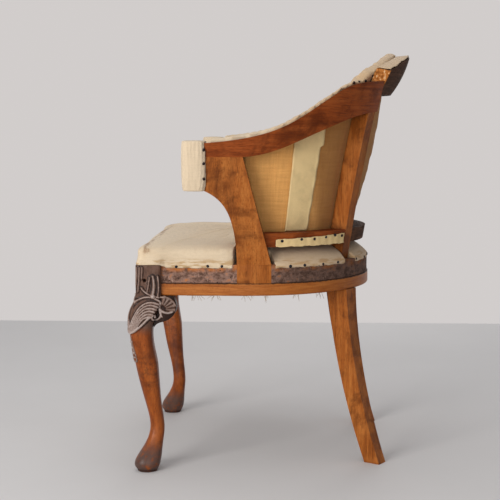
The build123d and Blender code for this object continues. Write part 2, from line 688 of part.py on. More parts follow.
def biarc(start, start_dir, end, end_dir):
    """Two tangent arcs from one point and direction to another."""
    chord = end - start
    both = start_dir + end_dir
    a = 2 * (start_dir.dot(end_dir) - 1)
    b = -2 * chord.dot(both)
    c = chord.dot(chord)
    reach = (-b - math.sqrt(b * b - 4 * a * c)) / (2 * a)
    first, second = start + start_dir * reach, end - end_dir * reach
    middle = (first + second) * 0.5
    return [Edge.make_tangent_arc(start, start_dir, middle),
            Edge.make_tangent_arc(middle, (second - first).normalized(), end)]


def coil_spring():
    """One hourglass seat spring, standing on the webbing under the spring hessian."""
    low = RAIL_BOTTOM + SPRING_WIRE / 2
    tall = RAIL_TOP - SPRING_WIRE / 2 - low
    nodes = [spring_point(i / 4, tall) for i in range(4 * SPRING_TURNS + 1)]
    edges = []
    for (p, d), (q, e) in zip(nodes, nodes[1:]):
        edges += biarc(p, d, q, e)
    path = Pos(0, 0, low) * Wire(edges)
    start = Plane(origin=path @ 0, z_dir=path % 0)
    return sweep(start * Circle(SPRING_WIRE / 2), path=path)


def spring_gap():
    """The least clear distance between a spring's own turns."""
    count = SPRING_SAMPLES * SPRING_TURNS
    spots = [spring_point(i / SPRING_SAMPLES, RAIL_HEIGHT - SPRING_WIRE)[0] for i in range(count + 1)]
    half = SPRING_SAMPLES // 2
    return min((q - p).length for i, p in enumerate(spots) for q in spots[i + half:]) - SPRING_WIRE


def seat_springs():
    middle = SEAT_AXIS_Y - SPRING_AHEAD
    half = SPRING_SPACING / 2
    spots = [(0, 0), (half, half), (-half, half), (half, -half), (-half, -half)]
    coil = coil_spring()
    return [Pos(x, middle + y, 0) * coil for x, y in spots]


def tub_wall(section, front_y):
    """A section turned half round the back and run forward on both sides."""
    arm = forward(section, front_y)
    return ring(section, 0, 180) + arm + mirrored(arm)


def inner_curve(low, high, inset):
    """The frame's inner face in the XZ plane: the flare, then the leaning crest."""
    foot = flare(CREST_BOTTOM) - FRAME_DEEP
    lean = math.tan(math.radians(CREST_LEAN)) * (high - CREST_BOTTOM)
    curve = flare_edge(low, CREST_BOTTOM, FRAME_DEEP + inset)
    return [curve, Line(curve @ 1, (foot - inset + lean, high))]


def skin_section(low, high, inset, deep):
    outer = inner_curve(low, high, inset)
    inner = inner_curve(low, high, inset + deep)
    ends = [Line(outer[0] @ 0, inner[0] @ 0), Line(outer[1] @ 1, inner[1] @ 1)]
    return Plane.XZ * make_face(outer + inner + ends)


def under_line(lift):
    """The tub's side view: below the arms' sweep and the crest's arch, behind the supports' hollow front."""
    top = arm_top_edge(lift)
    hollow = support_hollow(LINING_SETBACK)
    cut = side_cut([top, Polyline(top @ 1, ((top @ 1).X, 0), ((hollow @ 0).X, 0), hollow @ 0), hollow,
                    Polyline(hollow @ 1, ((hollow @ 1).X, ARM_BOTTOM), top @ 0)])
    half = flare(CREST_BOTTOM) * math.cos(math.radians(ARM_END_ANGLE))
    arch = ThreePointArc((-half, CREST_END_TOP + lift), (0, CREST_TOP + lift), (half, CREST_END_TOP + lift))
    legs = Polyline(arch @ 1, (half, 0), (-half, 0), arch @ 0)
    middle = extrude(Plane.XZ * make_face([arch, legs]), FAR, dir=(0, 1, 0))
    return cut + mirrored(cut) + middle


def back_hessian():
    """The coarse cloth stretched over the inside of the tub frame."""
    wall = tub_wall(skin_section(STUFF_RAIL_BOTTOM, CREST_TOP, CLEAR, CLOTH), BACK_PAD_FRONT_Y)
    return wall & under_line(-6)


def inside_back_pad():
    """The stuffed lining of the tub, fuller in the middle of its height."""
    gap = 2 * CLEAR + CLOTH
    high = CREST_TOP + BACK_PAD_LIP
    outer = inner_curve(BACK_PAD_BOTTOM, high, gap)
    face_low, face_high = outer[0] @ 0, outer[1] @ 1
    belly_z = (BACK_PAD_BOTTOM + CREST_BOTTOM) / 2
    belly = ThreePointArc((face_low.X - BACK_PAD * 0.6, BACK_PAD_BOTTOM),
                          (flare(belly_z) - FRAME_DEEP - gap - BACK_PAD, belly_z),
                          (face_high.X - BACK_PAD * 0.8, high))
    ends = [Line(face_low, belly @ 0), Line(face_high, belly @ 1)]
    section = Plane.XZ * make_face(outer + [belly] + ends)
    return tub_wall(section, BACK_PAD_FRONT_Y) & under_line(BACK_PAD_LIP)


def side_web():
    """The cream strap between the left arm and stuffing rail, outside the hessian."""
    low, high = STUFF_RAIL_TOP + CLEAR, ARM_BOTTOM + 70
    wall = flare_face(low, high, FRAME_DEEP - CLOTH - CLEAR, CLOTH)
    half = math.degrees(WEB_WIDE / 2 / flare(ARM_BOTTOM))
    strap = ring(wall, SIDE_WEB_ANGLE - half, 2 * half)
    return strap - above_arm_bottom()


def rail_wrap():
    """The tacked hem of hessian along the left stuffing rail's outer face."""
    low = STUFF_RAIL_BOTTOM + 1
    wall = flare_face(low, low + WRAP_TALL, -CLEAR - CLOTH, CLOTH)
    return ring(wall, 13, LEG_ANGLE - 13 - 5)


def arm_pad(arm, post):
    """The bolster wrapped round the left arm's front end."""
    lean = (flare(ARM_BOTTOM) - SEAT_RADIUS + SHOW_PROUD) / (ARM_BOTTOM - RAIL_TOP)
    tall = ARM_PAD_DROP + ARM_PAD_RISE
    x = SEAT_RADIUS - SHOW_PROUD + (ARM_PAD_BOTTOM - RAIL_TOP) * lean - SUPPORT_THICK / 2
    y = ARM_FRONT_Y + (ARM_PAD_WRAP - ARM_PAD_STUFF) / 2
    wide = SUPPORT_THICK + 2 * ARM_PAD_SIDE + 4
    deep = ARM_PAD_WRAP + ARM_PAD_STUFF
    sections = []
    for share, grow in ((0, -3), (0.12, 0), (0.5, 1.5), (0.88, 0), (1, -3)):
        place = Pos(x + lean * tall * share, y, ARM_PAD_BOTTOM + tall * share)
        sections.append(place * RectangleRounded(wide + grow, deep + grow, ARM_PAD_ROUND))
    pad = loft(sections)
    core = Pos(CLEAR, -CLEAR, CLEAR) * (arm + post) + Pos(-CLEAR, -CLEAR, -CLEAR) * (arm + post)
    return largest(pad - core - arm - post)


def build():
    """Every node by name. A node is one solid, or a list for a group of separate solids."""
    nodes = {}

    def pair(name, part):
        nodes[name + "_left"] = part
        nodes[name + "_right"] = mirrored(part)

    leg = cabriole_leg()
    side_ear, front_ear = knee_ears(leg)
    arm, post = arm_rail(), arm_support()
    upright = stile()
    pair("front_leg", leg)
    pair("knee_ear_side", side_ear)
    pair("knee_ear_front", front_ear)
    pair("back_leg", sabre_leg())
    side = side_rail()
    front = front_rail()
    for screw in corner_screws(JOINT_GAP):
        side -= screw
        front = front - screw - mirrored(screw)
    pair("side_rail", side)
    nodes["front_rail"] = front
    nodes["back_rail"] = back_rail()
    pair("corner_block", corner_block(leg))
    screws = corner_screws(0)
    nodes["corner_screws"] = screws + [mirrored(screw) for screw in screws]
    stuff = side_stuff_rail()
    lower = lower_back_rail()
    for hole in side_stuff_pegs(SMALL_DOWEL_RADIUS + JOINT_GAP, SMALL_DOWEL_LONG + 2 * JOINT_GAP):
        post -= hole
        upright -= hole
        lower = lower - hole - mirrored(hole)
    pair("arm_support", post)
    pair("stile", upright)
    pair("arm_rail", arm)
    pair("stuffing_rail", stuff)
    nodes["lower_back_rail"] = lower
    nodes["crest_rail"] = crest_rail()
    pins = splice_dowels(DOWEL_RADIUS, DOWEL_LONG)
    pins += support_pegs(SMALL_DOWEL_RADIUS, SMALL_DOWEL_LONG) + crest_pegs(SMALL_DOWEL_RADIUS, SMALL_DOWEL_LONG)
    pins += side_stuff_pegs(SMALL_DOWEL_RADIUS, SMALL_DOWEL_LONG)
    nodes["frame_dowels"] = pins + [mirrored(pin) for pin in pins]
    rooms = post_room()
    rooms += [mirrored(room) for room in rooms]
    nodes["webbing_lengthwise"] = webbing_lengthwise()
    nodes["webbing_crosswise"] = webbing_crosswise()
    nodes["seat_springs"] = seat_springs()
    nodes["spring_hessian"] = spring_hessian(rooms)
    nodes["seat_pad"] = seat_pad(rooms)
    arms = [arm, mirrored(arm)]
    nodes["back_hessian"] = largest(back_hessian() - arms)
    nodes["inside_back_pad"] = largest(inside_back_pad() - arms)
    pair("side_web", side_web())
    pair("rail_wrap", rail_wrap())
    pair("arm_pad", arm_pad(arm, post))
    return nodes


def main():
    os.makedirs("parts", exist_ok=True)
    for name, part in build().items():
        solids = part if isinstance(part, list) else [part]
        whole = Compound(label=name, children=[s for one in solids for s in one.solids()])
        export_step(whole, f"parts/{name}.step")
        box = whole.bounding_box()
        print(f"{name:22s} solids {len(whole.solids())} volume {whole.volume:12.1f} "
              f"x {box.min.X:7.1f} {box.max.X:7.1f} y {box.min.Y:7.1f} {box.max.Y:7.1f} "
              f"z {box.min.Z:7.1f} {box.max.Z:7.1f} valid {all(s.is_valid for s in whole.solids())}")
    print(f"springs: least gap between turns {spring_gap():.2f}")


main()
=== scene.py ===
"""A tub armchair stripped to its under-cover: walnut show wood, hessian, calico, webbing and tacks.

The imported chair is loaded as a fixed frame. The rigid wood and the springs keep their solids and get
finishes here. Cloth, stuffing, carving and tacks are modelled round that frame, in metres.
"""

import math

import bmesh
import bpy
import numpy as np
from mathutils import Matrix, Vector
from mathutils.bvhtree import BVHTree


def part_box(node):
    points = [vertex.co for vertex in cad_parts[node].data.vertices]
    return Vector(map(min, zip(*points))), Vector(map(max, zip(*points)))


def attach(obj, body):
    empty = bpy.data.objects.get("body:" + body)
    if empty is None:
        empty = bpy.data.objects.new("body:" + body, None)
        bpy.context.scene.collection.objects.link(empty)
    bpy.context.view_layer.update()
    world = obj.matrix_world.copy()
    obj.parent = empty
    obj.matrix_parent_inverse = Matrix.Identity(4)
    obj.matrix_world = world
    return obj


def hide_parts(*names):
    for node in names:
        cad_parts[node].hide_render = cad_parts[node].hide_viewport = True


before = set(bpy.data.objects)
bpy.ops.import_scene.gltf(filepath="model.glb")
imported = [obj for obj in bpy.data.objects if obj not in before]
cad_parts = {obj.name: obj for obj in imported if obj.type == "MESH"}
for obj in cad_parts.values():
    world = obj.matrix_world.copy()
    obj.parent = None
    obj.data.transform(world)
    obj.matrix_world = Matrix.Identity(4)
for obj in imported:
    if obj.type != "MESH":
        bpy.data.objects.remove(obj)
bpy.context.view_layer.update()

bl_info = {
    "name": "Stripped tub armchair",
    "version": (1, 0, 0),
    "blender": (4, 5, 0),
    "location": "View3D > Sidebar > Chair",
    "description": "Dresses the packed chair with its wood, cloth, webbing, carving and tacks",
    "category": "Object",
}

BODY = "root"
SIDES = (("left", 1.0), ("right", -1.0))
SEAT_HOOP = ("side_rail_left", "side_rail_right", "back_rail", "front_rail")
UP, DOWN = Vector((0.0, 0.0, 1.0)), Vector((0.0, 0.0, -1.0))
SEAT_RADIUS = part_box("side_rail_left")[1][0]
AXIS_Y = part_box("back_rail")[1][1] - SEAT_RADIUS
RAIL_BOTTOM, RAIL_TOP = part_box("front_rail")[0][2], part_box("front_rail")[1][2]
BAND_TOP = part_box("arm_support_left")[0][2]
WORN_EDGE_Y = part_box("seat_pad")[0][1] + 0.018
SEAT_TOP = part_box("seat_pad")[1][2]


class Value:
    """A shader socket that takes part in Python arithmetic; each step adds one Math node."""

    def __init__(self, finish, socket):
        self.finish, self.socket = finish, socket

    def calc(self, operation, *terms):
        return self.finish.node("ShaderNodeMath", {"operation": operation}, terms)

    def __add__(self, other):
        return self.calc("ADD", self, other)

    def __sub__(self, other):
        return self.calc("SUBTRACT", self, other)

    def __rsub__(self, other):
        return self.calc("SUBTRACT", other, self)

    def __mul__(self, other):
        return self.calc("MULTIPLY", self, other)

    def __pow__(self, other):
        return self.calc("POWER", self, other)

    def __abs__(self):
        return self.calc("ABSOLUTE", self)

    def sin(self):
        return self.calc("SINE", self)

    def least(self, other):
        return self.calc("MINIMUM", self, other)

    def most(self, other):
        return self.calc("MAXIMUM", self, other)

    def span(self, low, high):
        """0 below low and 1 above high, with a smooth step between; low may be the higher one."""
        sockets = {"Value": self, "From Min": low, "From Max": high}
        return self.finish.node("ShaderNodeMapRange", {"interpolation_type": "SMOOTHSTEP"}, sockets)

    __radd__, __rmul__ = __add__, __mul__


class Finish:
    """A material under construction, with one method for every kind of node."""

    def __init__(self, name):
        self.material = bpy.data.materials.new(name)
        self.material.use_nodes = True
        self.tree = self.material.node_tree
        self.shader = self.tree.nodes["Principled BSDF"]

    def node(self, kind, settings=(), sockets=(), out=0):
        made = self.tree.nodes.new(kind)
        for key, setting in dict(settings).items():
            if key == "stops":
                self.set_stops(made.color_ramp.elements, setting)
            else:
                setattr(made, key, setting)
        for key, value in sockets.items() if isinstance(sockets, dict) else enumerate(sockets):
            self.feed(made.inputs[key], value)
        return Value(self, made.outputs[out])

    @staticmethod
    def set_stops(elements, stops):
        while len(elements) < len(stops):
            elements.new(1.0)
        for element, (place, colour) in zip(elements, stops):
            element.position, element.color = place, (*colour, 1.0)

    def feed(self, socket, value):
        if isinstance(value, Value):
            self.tree.links.new(value.socket, socket)
        elif socket.type == "RGBA":
            socket.default_value = (*value, 1.0)
        else:
            socket.default_value = value

    def place(self, kind="Object"):
        return self.node("ShaderNodeTexCoord", out=kind)

    def axes(self, vector):
        apart = self.node("ShaderNodeSeparateXYZ", sockets=[vector]).socket.node
        return [Value(self, socket) for socket in apart.outputs]

    def vector(self, x, y, z):
        return self.node("ShaderNodeCombineXYZ", sockets=[x, y, z])

    def noise(self, vector, scale, detail=3.0, roughness=0.55, distortion=0.0):
        sockets = {"Vector": vector, "Scale": scale, "Detail": detail}
        sockets |= {"Roughness": roughness, "Distortion": distortion}
        return self.node("ShaderNodeTexNoise", sockets=sockets)

    def spots(self, vector, scale, out="Distance"):
        return self.node("ShaderNodeTexVoronoi", sockets={"Vector": vector, "Scale": scale}, out=out)

    def blend(self, factor, first, second, way="MIX"):
        settings = {"data_type": "RGBA", "blend_type": way}
        return self.node("ShaderNodeMix", settings, {0: factor, 6: first, 7: second}, out=2)

    def ramp(self, factor, *stops):
        return self.node("ShaderNodeValToRGB", {"stops": stops}, [factor])

    def bump(self, height, depth, below=None):
        sockets = {"Height": height, "Distance": depth}
        if below:
            sockets["Normal"] = below
        return self.node("ShaderNodeBump", sockets=sockets)

    def hollows(self, reach):
        """Near 0 in cracks and under overhangs within reach, 1 in the open."""
        return self.node("ShaderNodeAmbientOcclusion", {"samples": 12}, {"Distance": reach}, out="AO")

    def done(self, colour, roughness, normal=None, **uniform):
        self.feed(self.shader.inputs["Base Color"], colour)
        self.feed(self.shader.inputs["Roughness"], roughness)
        if normal:
            self.feed(self.shader.inputs["Normal"], normal)
        for key, value in uniform.items():
            self.shader.inputs[key.replace("_", " ").title().replace("Ior", "IOR")].default_value = value
        return self.material


RAW_WOOD = ((0.35, (0.200, 0.062, 0.012)), (0.55, (0.460, 0.165, 0.036)), (0.66, (0.640, 0.420, 0.230)))
CARVED_FROM = 0.262
# ramp over the carved relief: near-black grooves, partly dirt and partly painted shade, up to pale grey ridges, a
# painted highlight
CARVED_SHADE_AND_HIGHLIGHT = (
    (0.06, (0.007, 0.004, 0.003)),
    (0.42, (0.098, 0.050, 0.032)),
    (0.78, (0.195, 0.128, 0.100)),
    (1.00, (0.370, 0.295, 0.260)),
)
TACKED_BAND = (
    (0.30, (0.040, 0.022, 0.016)),
    (0.44, (0.125, 0.064, 0.043)),
    (0.56, (0.250, 0.145, 0.108)),
    (0.70, (0.420, 0.150, 0.045)),
)


def grain_lie(finish, run):
    """Object coordinates turned so that the first axis follows the wood's grain."""
    x, y, z = finish.axes(finish.place())
    if run == "hoop":
        behind = y - AXIS_Y
        round_back = behind.most(0.0)
        turn = finish.node("ShaderNodeMath", {"operation": "ARCTAN2"}, [round_back, abs(x)])
        along = turn * SEAT_RADIUS + behind.least(0.0)
        across = (x * x + round_back * round_back) ** 0.5
        return along, across, z
    return {"upright": (z, x, y), "across": (x, y, z), "lengthwise": (y, x, z)}[run]


def wood_figure(finish, lie, stretch=0.07):
    """Broad figure, fine fibre and open pores, all drawn out along the grain."""
    along, across, rise = lie
    drawn = finish.vector(along * stretch, across, rise)
    figure = finish.noise(drawn, 48.0, 3.0, 0.6, 0.9)
    fibre = finish.noise(drawn, 420.0, 3.0, 0.7)
    pores = finish.noise(finish.vector(along * 0.045, across, rise), 1500.0, 1.0).span(0.60, 0.70)
    return figure, fibre, pores


def show_wood(name, run, dark, middle, light, gloss=0.36, grime_and_shade=0.75, bare=None, carved=False):
    """Old polished walnut: figured grain, polish worn thin in places, and the hollows darkened, partly by dirt and
    partly as painted shade.

    Up to the distance bare along the grain the wood is left raw; carved wood takes its tone from its relief, with
    painted shade in the grooves and a painted highlight on the ridges.
    """
    finish = Finish(name)
    lie = grain_lie(finish, run)
    figure, fibre, pores = wood_figure(finish, lie)
    tone = figure * 0.62 + fibre * 0.38
    colour = finish.ramp(tone, (0.30, dark), (0.50, middle), (0.68, light))
    colour = finish.blend(pores * 0.55, colour, [c * 0.35 for c in dark])
    worn = finish.noise(finish.place(), 21.0, 5.0, 0.62).span(0.47, 0.70)
    colour = finish.blend(worn * 0.4, colour, light)
    stain = finish.noise(finish.place(), 15.0, 5.0, 0.66, 0.6).span(0.48, 0.68)
    colour = finish.blend(stain * 0.72, colour, dark)
    if bare is not None:
        streak = finish.noise(finish.vector(0.0, lie[1], lie[2]), 160.0, 3.0)
        raw = finish.ramp(streak, *RAW_WOOD)
        colour = finish.blend(lie[0].span(bare + 0.0030, bare + 0.0012), colour, raw)
    if carved:
        colour = carved_tone(finish, colour)
    # hollows and undersides darkened towards near-black: partly dirt lodged there, partly painted shade
    dirt_and_shade = (1.0 - finish.hollows(0.012)).span(0.25, 0.85)
    colour = finish.blend(dirt_and_shade * grime_and_shade, colour, [c * 0.10 for c in dark])
    smudge = finish.noise(finish.place(), 70.0, 4.0, 0.7)
    roughness = worn * 0.16 + smudge * 0.14 + dirt_and_shade * 0.3 + (gloss - 0.1)
    normal = finish.bump(pores * -1.0 + fibre * 0.35, 0.00022)
    return finish.done(colour, roughness, normal, specular_ior_level=0.22 if carved else 0.09)


def carved_tone(finish, plain):
    """Carved ground almost black, partly old polish and dirt and partly painted shade, its ridges painted pale as a
    reflected highlight; the pad of the foot is scuffed.
    """
    relief = finish.node("ShaderNodeAttribute", {"attribute_name": "carve"}, out="Fac")
    _, _, rise = finish.axes(finish.place())
    scuff = finish.noise(finish.place(), 120.0, 4.0, 0.7)
    tone = finish.ramp(
        relief + (scuff - 0.5) * 0.55,
        *CARVED_SHADE_AND_HIGHLIGHT,
    )
    zone = rise.span(CARVED_FROM, CARVED_FROM + 0.022).most(relief.span(0.46, 0.62))
    colour = finish.blend(zone * 0.95, plain, tone)
    smear = scuff.span(0.46, 0.60) * rise.span(0.150, 0.190) * rise.span(0.245, 0.200)
    colour = finish.blend(smear * 0.4, colour, (0.018, 0.010, 0.007))
    foot = rise.span(0.062, 0.030) * scuff.span(0.30, 0.52)
    return finish.blend(foot * 0.85, colour, (0.070, 0.046, 0.038))


def rail_wood(name, show):
    """A seat rail: polished below the rebate, and above it the rough band that tacks and old glue have marked, with
    painted shade where the band curves away round the back.
    """
    finish = Finish(name)
    lie = grain_lie(finish, "hoop")
    along, _, rise = lie
    figure, fibre, pores = wood_figure(finish, lie)
    dark, middle, light = show
    tone = figure * 0.62 + fibre * 0.38
    polished = finish.ramp(tone, (0.30, dark), (0.50, middle), (0.68, light))
    flecks = finish.noise(finish.vector(along, rise * 0.12, along), 900.0, 1.0).span(0.62, 0.72)
    polished = finish.blend(flecks * 0.35, polished, [c * 0.4 for c in dark])
    glue = finish.noise(finish.vector(along * 0.5, rise, along * 0.5), 105.0, 5.0, 0.7, 0.15)
    rough = finish.ramp(glue, *TACKED_BAND)
    scratch = finish.noise(finish.vector(along, rise * 0.16, along * 0.3), 330.0, 2.0, 0.6).span(0.63, 0.70)
    rough = finish.blend(scratch * 0.6, rough, (0.430, 0.270, 0.200))
    patch = finish.noise(finish.vector(along, rise * 0.4, 0.0), 42.0, 4.0, 0.66).span(0.42, 0.62)
    patch = patch * rise.span(RAIL_TOP - 0.016, RAIL_TOP - 0.008)
    rough = finish.blend(patch * 0.8, rough, (0.450, 0.140, 0.028))
    # painted shade: the rough band darkened where the hoop curves away round the back
    rough = finish.blend(along.span(0.000, 0.110) * 0.55, rough, (0.034, 0.018, 0.012))
    holes = finish.spots(finish.vector(along, rise * 1.3, 0.0), 95.0).span(0.115, 0.075)
    rough = finish.blend(holes, rough, (0.008, 0.005, 0.004))
    edge = finish.noise(finish.vector(along, along, 0.0), 90.0, 3.0) * 0.004 + (BAND_TOP - 0.002)
    upper = (rise - edge).span(-0.0006, 0.0008)
    colour = finish.blend(upper, polished, rough)
    seam = abs(rise - edge).span(0.0022, 0.0002)
    colour = finish.blend(seam * 0.8, colour, (0.012, 0.007, 0.005))
    roughness = upper * 0.42 + figure * 0.2 + 0.28
    relief = finish.bump(scratch * upper * 0.5 - holes * upper * 2.0 + glue * upper, 0.0008)
    normal = finish.bump(fibre * 0.35 - pores, 0.0002, relief)
    return finish.done(colour, roughness, normal, specular_ior_level=0.15)


def cloth_finish(name, thread, shade, stain, pitch, depth, uv=False, loose=0.5):
    """Plain-woven cloth: crossing threads of uneven thickness, soiled in clouds, with painted shade darkening its
    folds.
    """
    finish = Finish(name)
    if uv:
        across, along, _ = finish.axes(finish.place("UV"))
        up = None
    else:
        across, along, up = finish.axes(finish.place())
    here = finish.place()
    drift = (finish.noise(here, 55.0, 3.0) - 0.5) * (loose * pitch * 3.0)
    turns = 2.0 * math.pi / pitch
    weft = ((along + drift) * turns).sin()
    warp = ((across + drift) * turns).sin()
    threads = weft * warp
    if up:
        threads = threads + ((up + drift) * turns).sin() * 0.6
    slub = finish.noise(finish.vector(across * 0.08, along, up or 0.0), 0.55 / pitch, 2.0)
    slub = slub + finish.noise(finish.vector(across, along * 0.08, up or 0.0), 0.55 / pitch, 2.0) - 1.0
    weave = threads * 0.5 + slub * (2.2 * loose)
    colour = finish.blend(weave.span(-0.75, 0.75), shade, thread)
    cloud = finish.noise(here, 9.0, 5.0, 0.62, 0.4).span(0.46, 0.74)
    colour = finish.blend(cloud * 0.55, colour, stain)
    spot = finish.noise(here, 85.0, 3.0, 0.7).span(0.64, 0.78)
    colour = finish.blend(spot * 0.45, colour, stain)
    # painted shade: the cloth darkened in its folds and creases
    folds = (1.0 - finish.hollows(0.014)).span(0.30, 0.95)
    colour = finish.blend(folds * 0.55, colour, [c * 0.35 for c in stain])
    return finish, colour, weave, finish.bump(weave, depth)


def calico(name, tint):
    """Unbleached seat calico with faint creases and yellowed patches."""
    finish, colour, weave, normal = cloth_finish(
        name, tint, [c * 0.83 for c in tint], (0.52, 0.36, 0.19), 0.0011, 0.00016, loose=0.5
    )
    x, y, z = finish.axes(finish.place())
    front = (abs(y - WORN_EDGE_Y)).span(0.010, 0.003) * (z - RAIL_TOP).span(0.018, 0.026)
    rub = finish.noise(finish.vector(x * 0.35, y, z), 60.0, 5.0, 0.7).span(0.42, 0.58)
    colour = finish.blend(front * rub * 0.7, colour, (0.20, 0.085, 0.026))
    low = (z - RAIL_TOP).span(0.016, 0.004) * (abs(z - RAIL_TOP) - 0.012).span(0.002, -0.002)
    line = finish.noise(finish.vector(x * 0.6, y * 0.6, z * 4.0), 60.0, 3.0).span(0.48, 0.62)
    colour = finish.blend(low * line * 0.7, colour, (0.38, 0.21, 0.07))
    colour = finish.blend(y.span(-0.030, 0.030) * 0.42, colour, (0.42, 0.235, 0.095))
    return finish.done(colour, weave * -0.03 + 0.9, normal, sheen_weight=0.15, specular_ior_level=0.2)


def hessian(name, thread, shade):
    """Coarse jute hessian, unevenly spun, its colour deepening in clouds of dust and damp, and darker towards the back,
    partly dust and partly painted shade.
    """
    finish, colour, weave, normal = cloth_finish(
        name, thread, shade, [c * 0.55 for c in thread], 0.0026, 0.0007, uv=True, loose=0.32
    )
    _, y, _ = finish.axes(finish.place())
    # darker towards the back of the tub: partly dust, partly painted shade
    colour = finish.blend(y.span(0.066, 0.092) * 0.85, colour, (0.47, 0.40, 0.30), "MULTIPLY")
    return finish.done(colour, weave * -0.05 + 0.88, normal, sheen_weight=0.1, specular_ior_level=0.2)


def webbing(name, thread, shade, stripe=None):
    """Close twill webbing with diagonal ribs and, where the cloth has them, dark stripes near its edges."""
    finish = Finish(name)
    across, along, _ = finish.axes(finish.place("UV"))
    wander = finish.noise(finish.place(), 160.0, 2.0) * 0.0006
    ribs = ((along + abs(across) * 0.9 + wander) * (2.0 * math.pi / 0.0022)).sin()
    yarn = ((across + wander) * (2.0 * math.pi / 0.0012)).sin()
    twill = ribs * 0.6 + yarn * 0.4
    colour = finish.blend(twill.span(-0.8, 0.8), shade, thread)
    if stripe:
        band = abs(abs(across) - 0.017).span(0.0030, 0.0018)
        colour = finish.blend(band * 0.8, colour, stripe)
    soil = finish.noise(finish.place(), 26.0, 5.0, 0.65).span(0.45, 0.75)
    colour = finish.blend(soil * 0.3, colour, [c * 0.6 for c in shade])
    return finish.done(colour, soil * 0.06 + 0.86, finish.bump(twill, 0.0004), specular_ior_level=0.2)


def steel(name, tint, rust, roughness):
    """Old steel wire and tacks: dull metal, freckled with rust."""
    finish = Finish(name)
    freckle = finish.noise(finish.place(), 190.0, 4.0, 0.7).span(0.48, 0.66)
    colour = finish.blend(freckle, tint, rust)
    pits = finish.noise(finish.place(), 900.0, 2.0)
    return finish.done(colour, freckle * 0.3 + roughness, finish.bump(pits, 0.0002), metallic=0.85)


def link_piece(name, mesh, material, slot, *nodes):
    """Adds a finished mesh as a piece of the chair that stands for the named solids."""
    made = bpy.data.objects.new(name, mesh)
    bpy.context.scene.collection.objects.link(made)
    mesh.materials.clear()
    mesh.materials.append(material)
    mesh.shade_smooth()
    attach(made, BODY)
    if nodes:
        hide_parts(*nodes)
    return made


def shaped(mesh, *modifiers):
    """The mesh that the given modifiers, as (kind, settings) pairs, make of a mesh."""
    work = bpy.data.objects.new("shaping", mesh)
    bpy.context.scene.collection.objects.link(work)
    for kind, settings in modifiers:
        modifier = work.modifiers.new(kind.title(), kind)
        for key, setting in settings.items():
            setattr(modifier, key, setting)
    result = bpy.data.meshes.new_from_object(work.evaluated_get(bpy.context.evaluated_depsgraph_get()))
    bpy.data.objects.remove(work)
    return result


def spots_of(mesh):
    flat = np.empty(len(mesh.vertices) * 3)
    mesh.vertices.foreach_get("co", flat)
    return flat.reshape(-1, 3)


def normals_of(mesh):
    flat = np.empty(len(mesh.vertices) * 3, dtype=np.float32)
    mesh.vertex_normals.foreach_get("vector", flat)
    return flat.reshape(-1, 3).astype(float)


def put_spots(mesh, spots):
    mesh.vertices.foreach_set("co", np.ascontiguousarray(spots).ravel())
    mesh.update()


def solid_copy(node, cell):
    """A closed, evenly meshed copy of a frame node."""
    bm = bmesh.new()
    bm.from_mesh(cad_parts[node].data)
    bmesh.ops.remove_doubles(bm, verts=bm.verts, dist=1e-6)
    mesh = bpy.data.meshes.new(node + "_copy")
    bm.to_mesh(mesh)
    bm.free()
    mesh.materials.clear()
    return shaped(mesh, ("REMESH", {"mode": "VOXEL", "voxel_size": cell}))


def grid_mesh(name, spots, cut=None, ring=False):
    """Quads through a (rows, columns, 3) array; cut gives each spot's place on the flat cloth."""
    rows, columns = spots.shape[:2]
    order = np.arange(rows * columns).reshape(rows, columns)
    if ring:
        order = np.hstack([order, order[:, :1]])
    faces = np.stack([order[:-1, :-1], order[:-1, 1:], order[1:, 1:], order[1:, :-1]], -1)
    mesh = bpy.data.meshes.new(name)
    mesh.from_pydata(spots.reshape(-1, 3).tolist(), [], faces.reshape(-1, 4).tolist())
    if cut is not None:
        corners = np.empty(len(mesh.loops), dtype=np.int32)
        mesh.loops.foreach_get("vertex_index", corners)
        mesh.uv_layers.new(name="cut").data.foreach_set("uv", cut.reshape(-1, 2)[corners].ravel())
    return mesh


def face_outward(mesh):
    bm = bmesh.new()
    bm.from_mesh(mesh)
    bmesh.ops.recalc_face_normals(bm, faces=bm.faces)
    bm.to_mesh(mesh)
    bm.free()
    return mesh


def cloth_shell(mesh, thickness, smoothing=0):
    """A sheet given its thickness, closed all round and facing outward."""
    steps = [("SUBSURF", {"levels": smoothing, "render_levels": smoothing})] if smoothing else []
    steps.append(("SOLIDIFY", {"thickness": thickness, "offset": 0.0}))
    return face_outward(shaped(mesh, *steps))


def surface_of(*nodes):
    """A tree for casting rays at one or more frame nodes together."""
    verts, faces = [], []
    for node in nodes:
        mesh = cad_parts[node].data
        start = len(verts)
        verts.extend(v.co[:] for v in mesh.vertices)
        faces.extend([start + i for i in p.vertices] for p in mesh.polygons)
    return BVHTree.FromPolygons(verts, faces)


def crest_end():
    """The turn round the tub at which the crest rail ends."""
    spots = spots_of(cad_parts["crest_rail"].data)
    return float(np.arctan2(spots[:, 1] - AXIS_Y, np.abs(spots[:, 0])).min())


def ease(value, low, high):
    """0 at low and 1 at high, with a smooth step between."""
    part = np.clip((value - low) / (high - low), 0.0, 1.0)
    return part * part * (3.0 - 2.0 * part)


def ripple(seed, *places):
    """Smooth wandering between -1 and 1: a few fixed sine waves over the given places."""
    chance = np.random.default_rng(seed)
    total = 0.0
    for octave in range(1, 5):
        phase = chance.uniform(0.0, 2.0 * math.pi)
        total = total + np.sin(sum(p * chance.uniform(0.6, 1.4) * octave for p in places) + phase) / octave
    return total / 2.1


def tub(turn, radius, height):
    """Points on the tub: turn 0 is its left side and pi its right; past these the wall runs straight forward."""
    bend = np.clip(turn, 0.0, math.pi)
    ahead = np.minimum(turn, 0.0) - np.maximum(turn - math.pi, 0.0)
    x, y = radius * np.cos(bend), AXIS_Y + radius * np.sin(bend) + ahead * SEAT_RADIUS
    return np.stack(np.broadcast_arrays(x, y, height), -1)


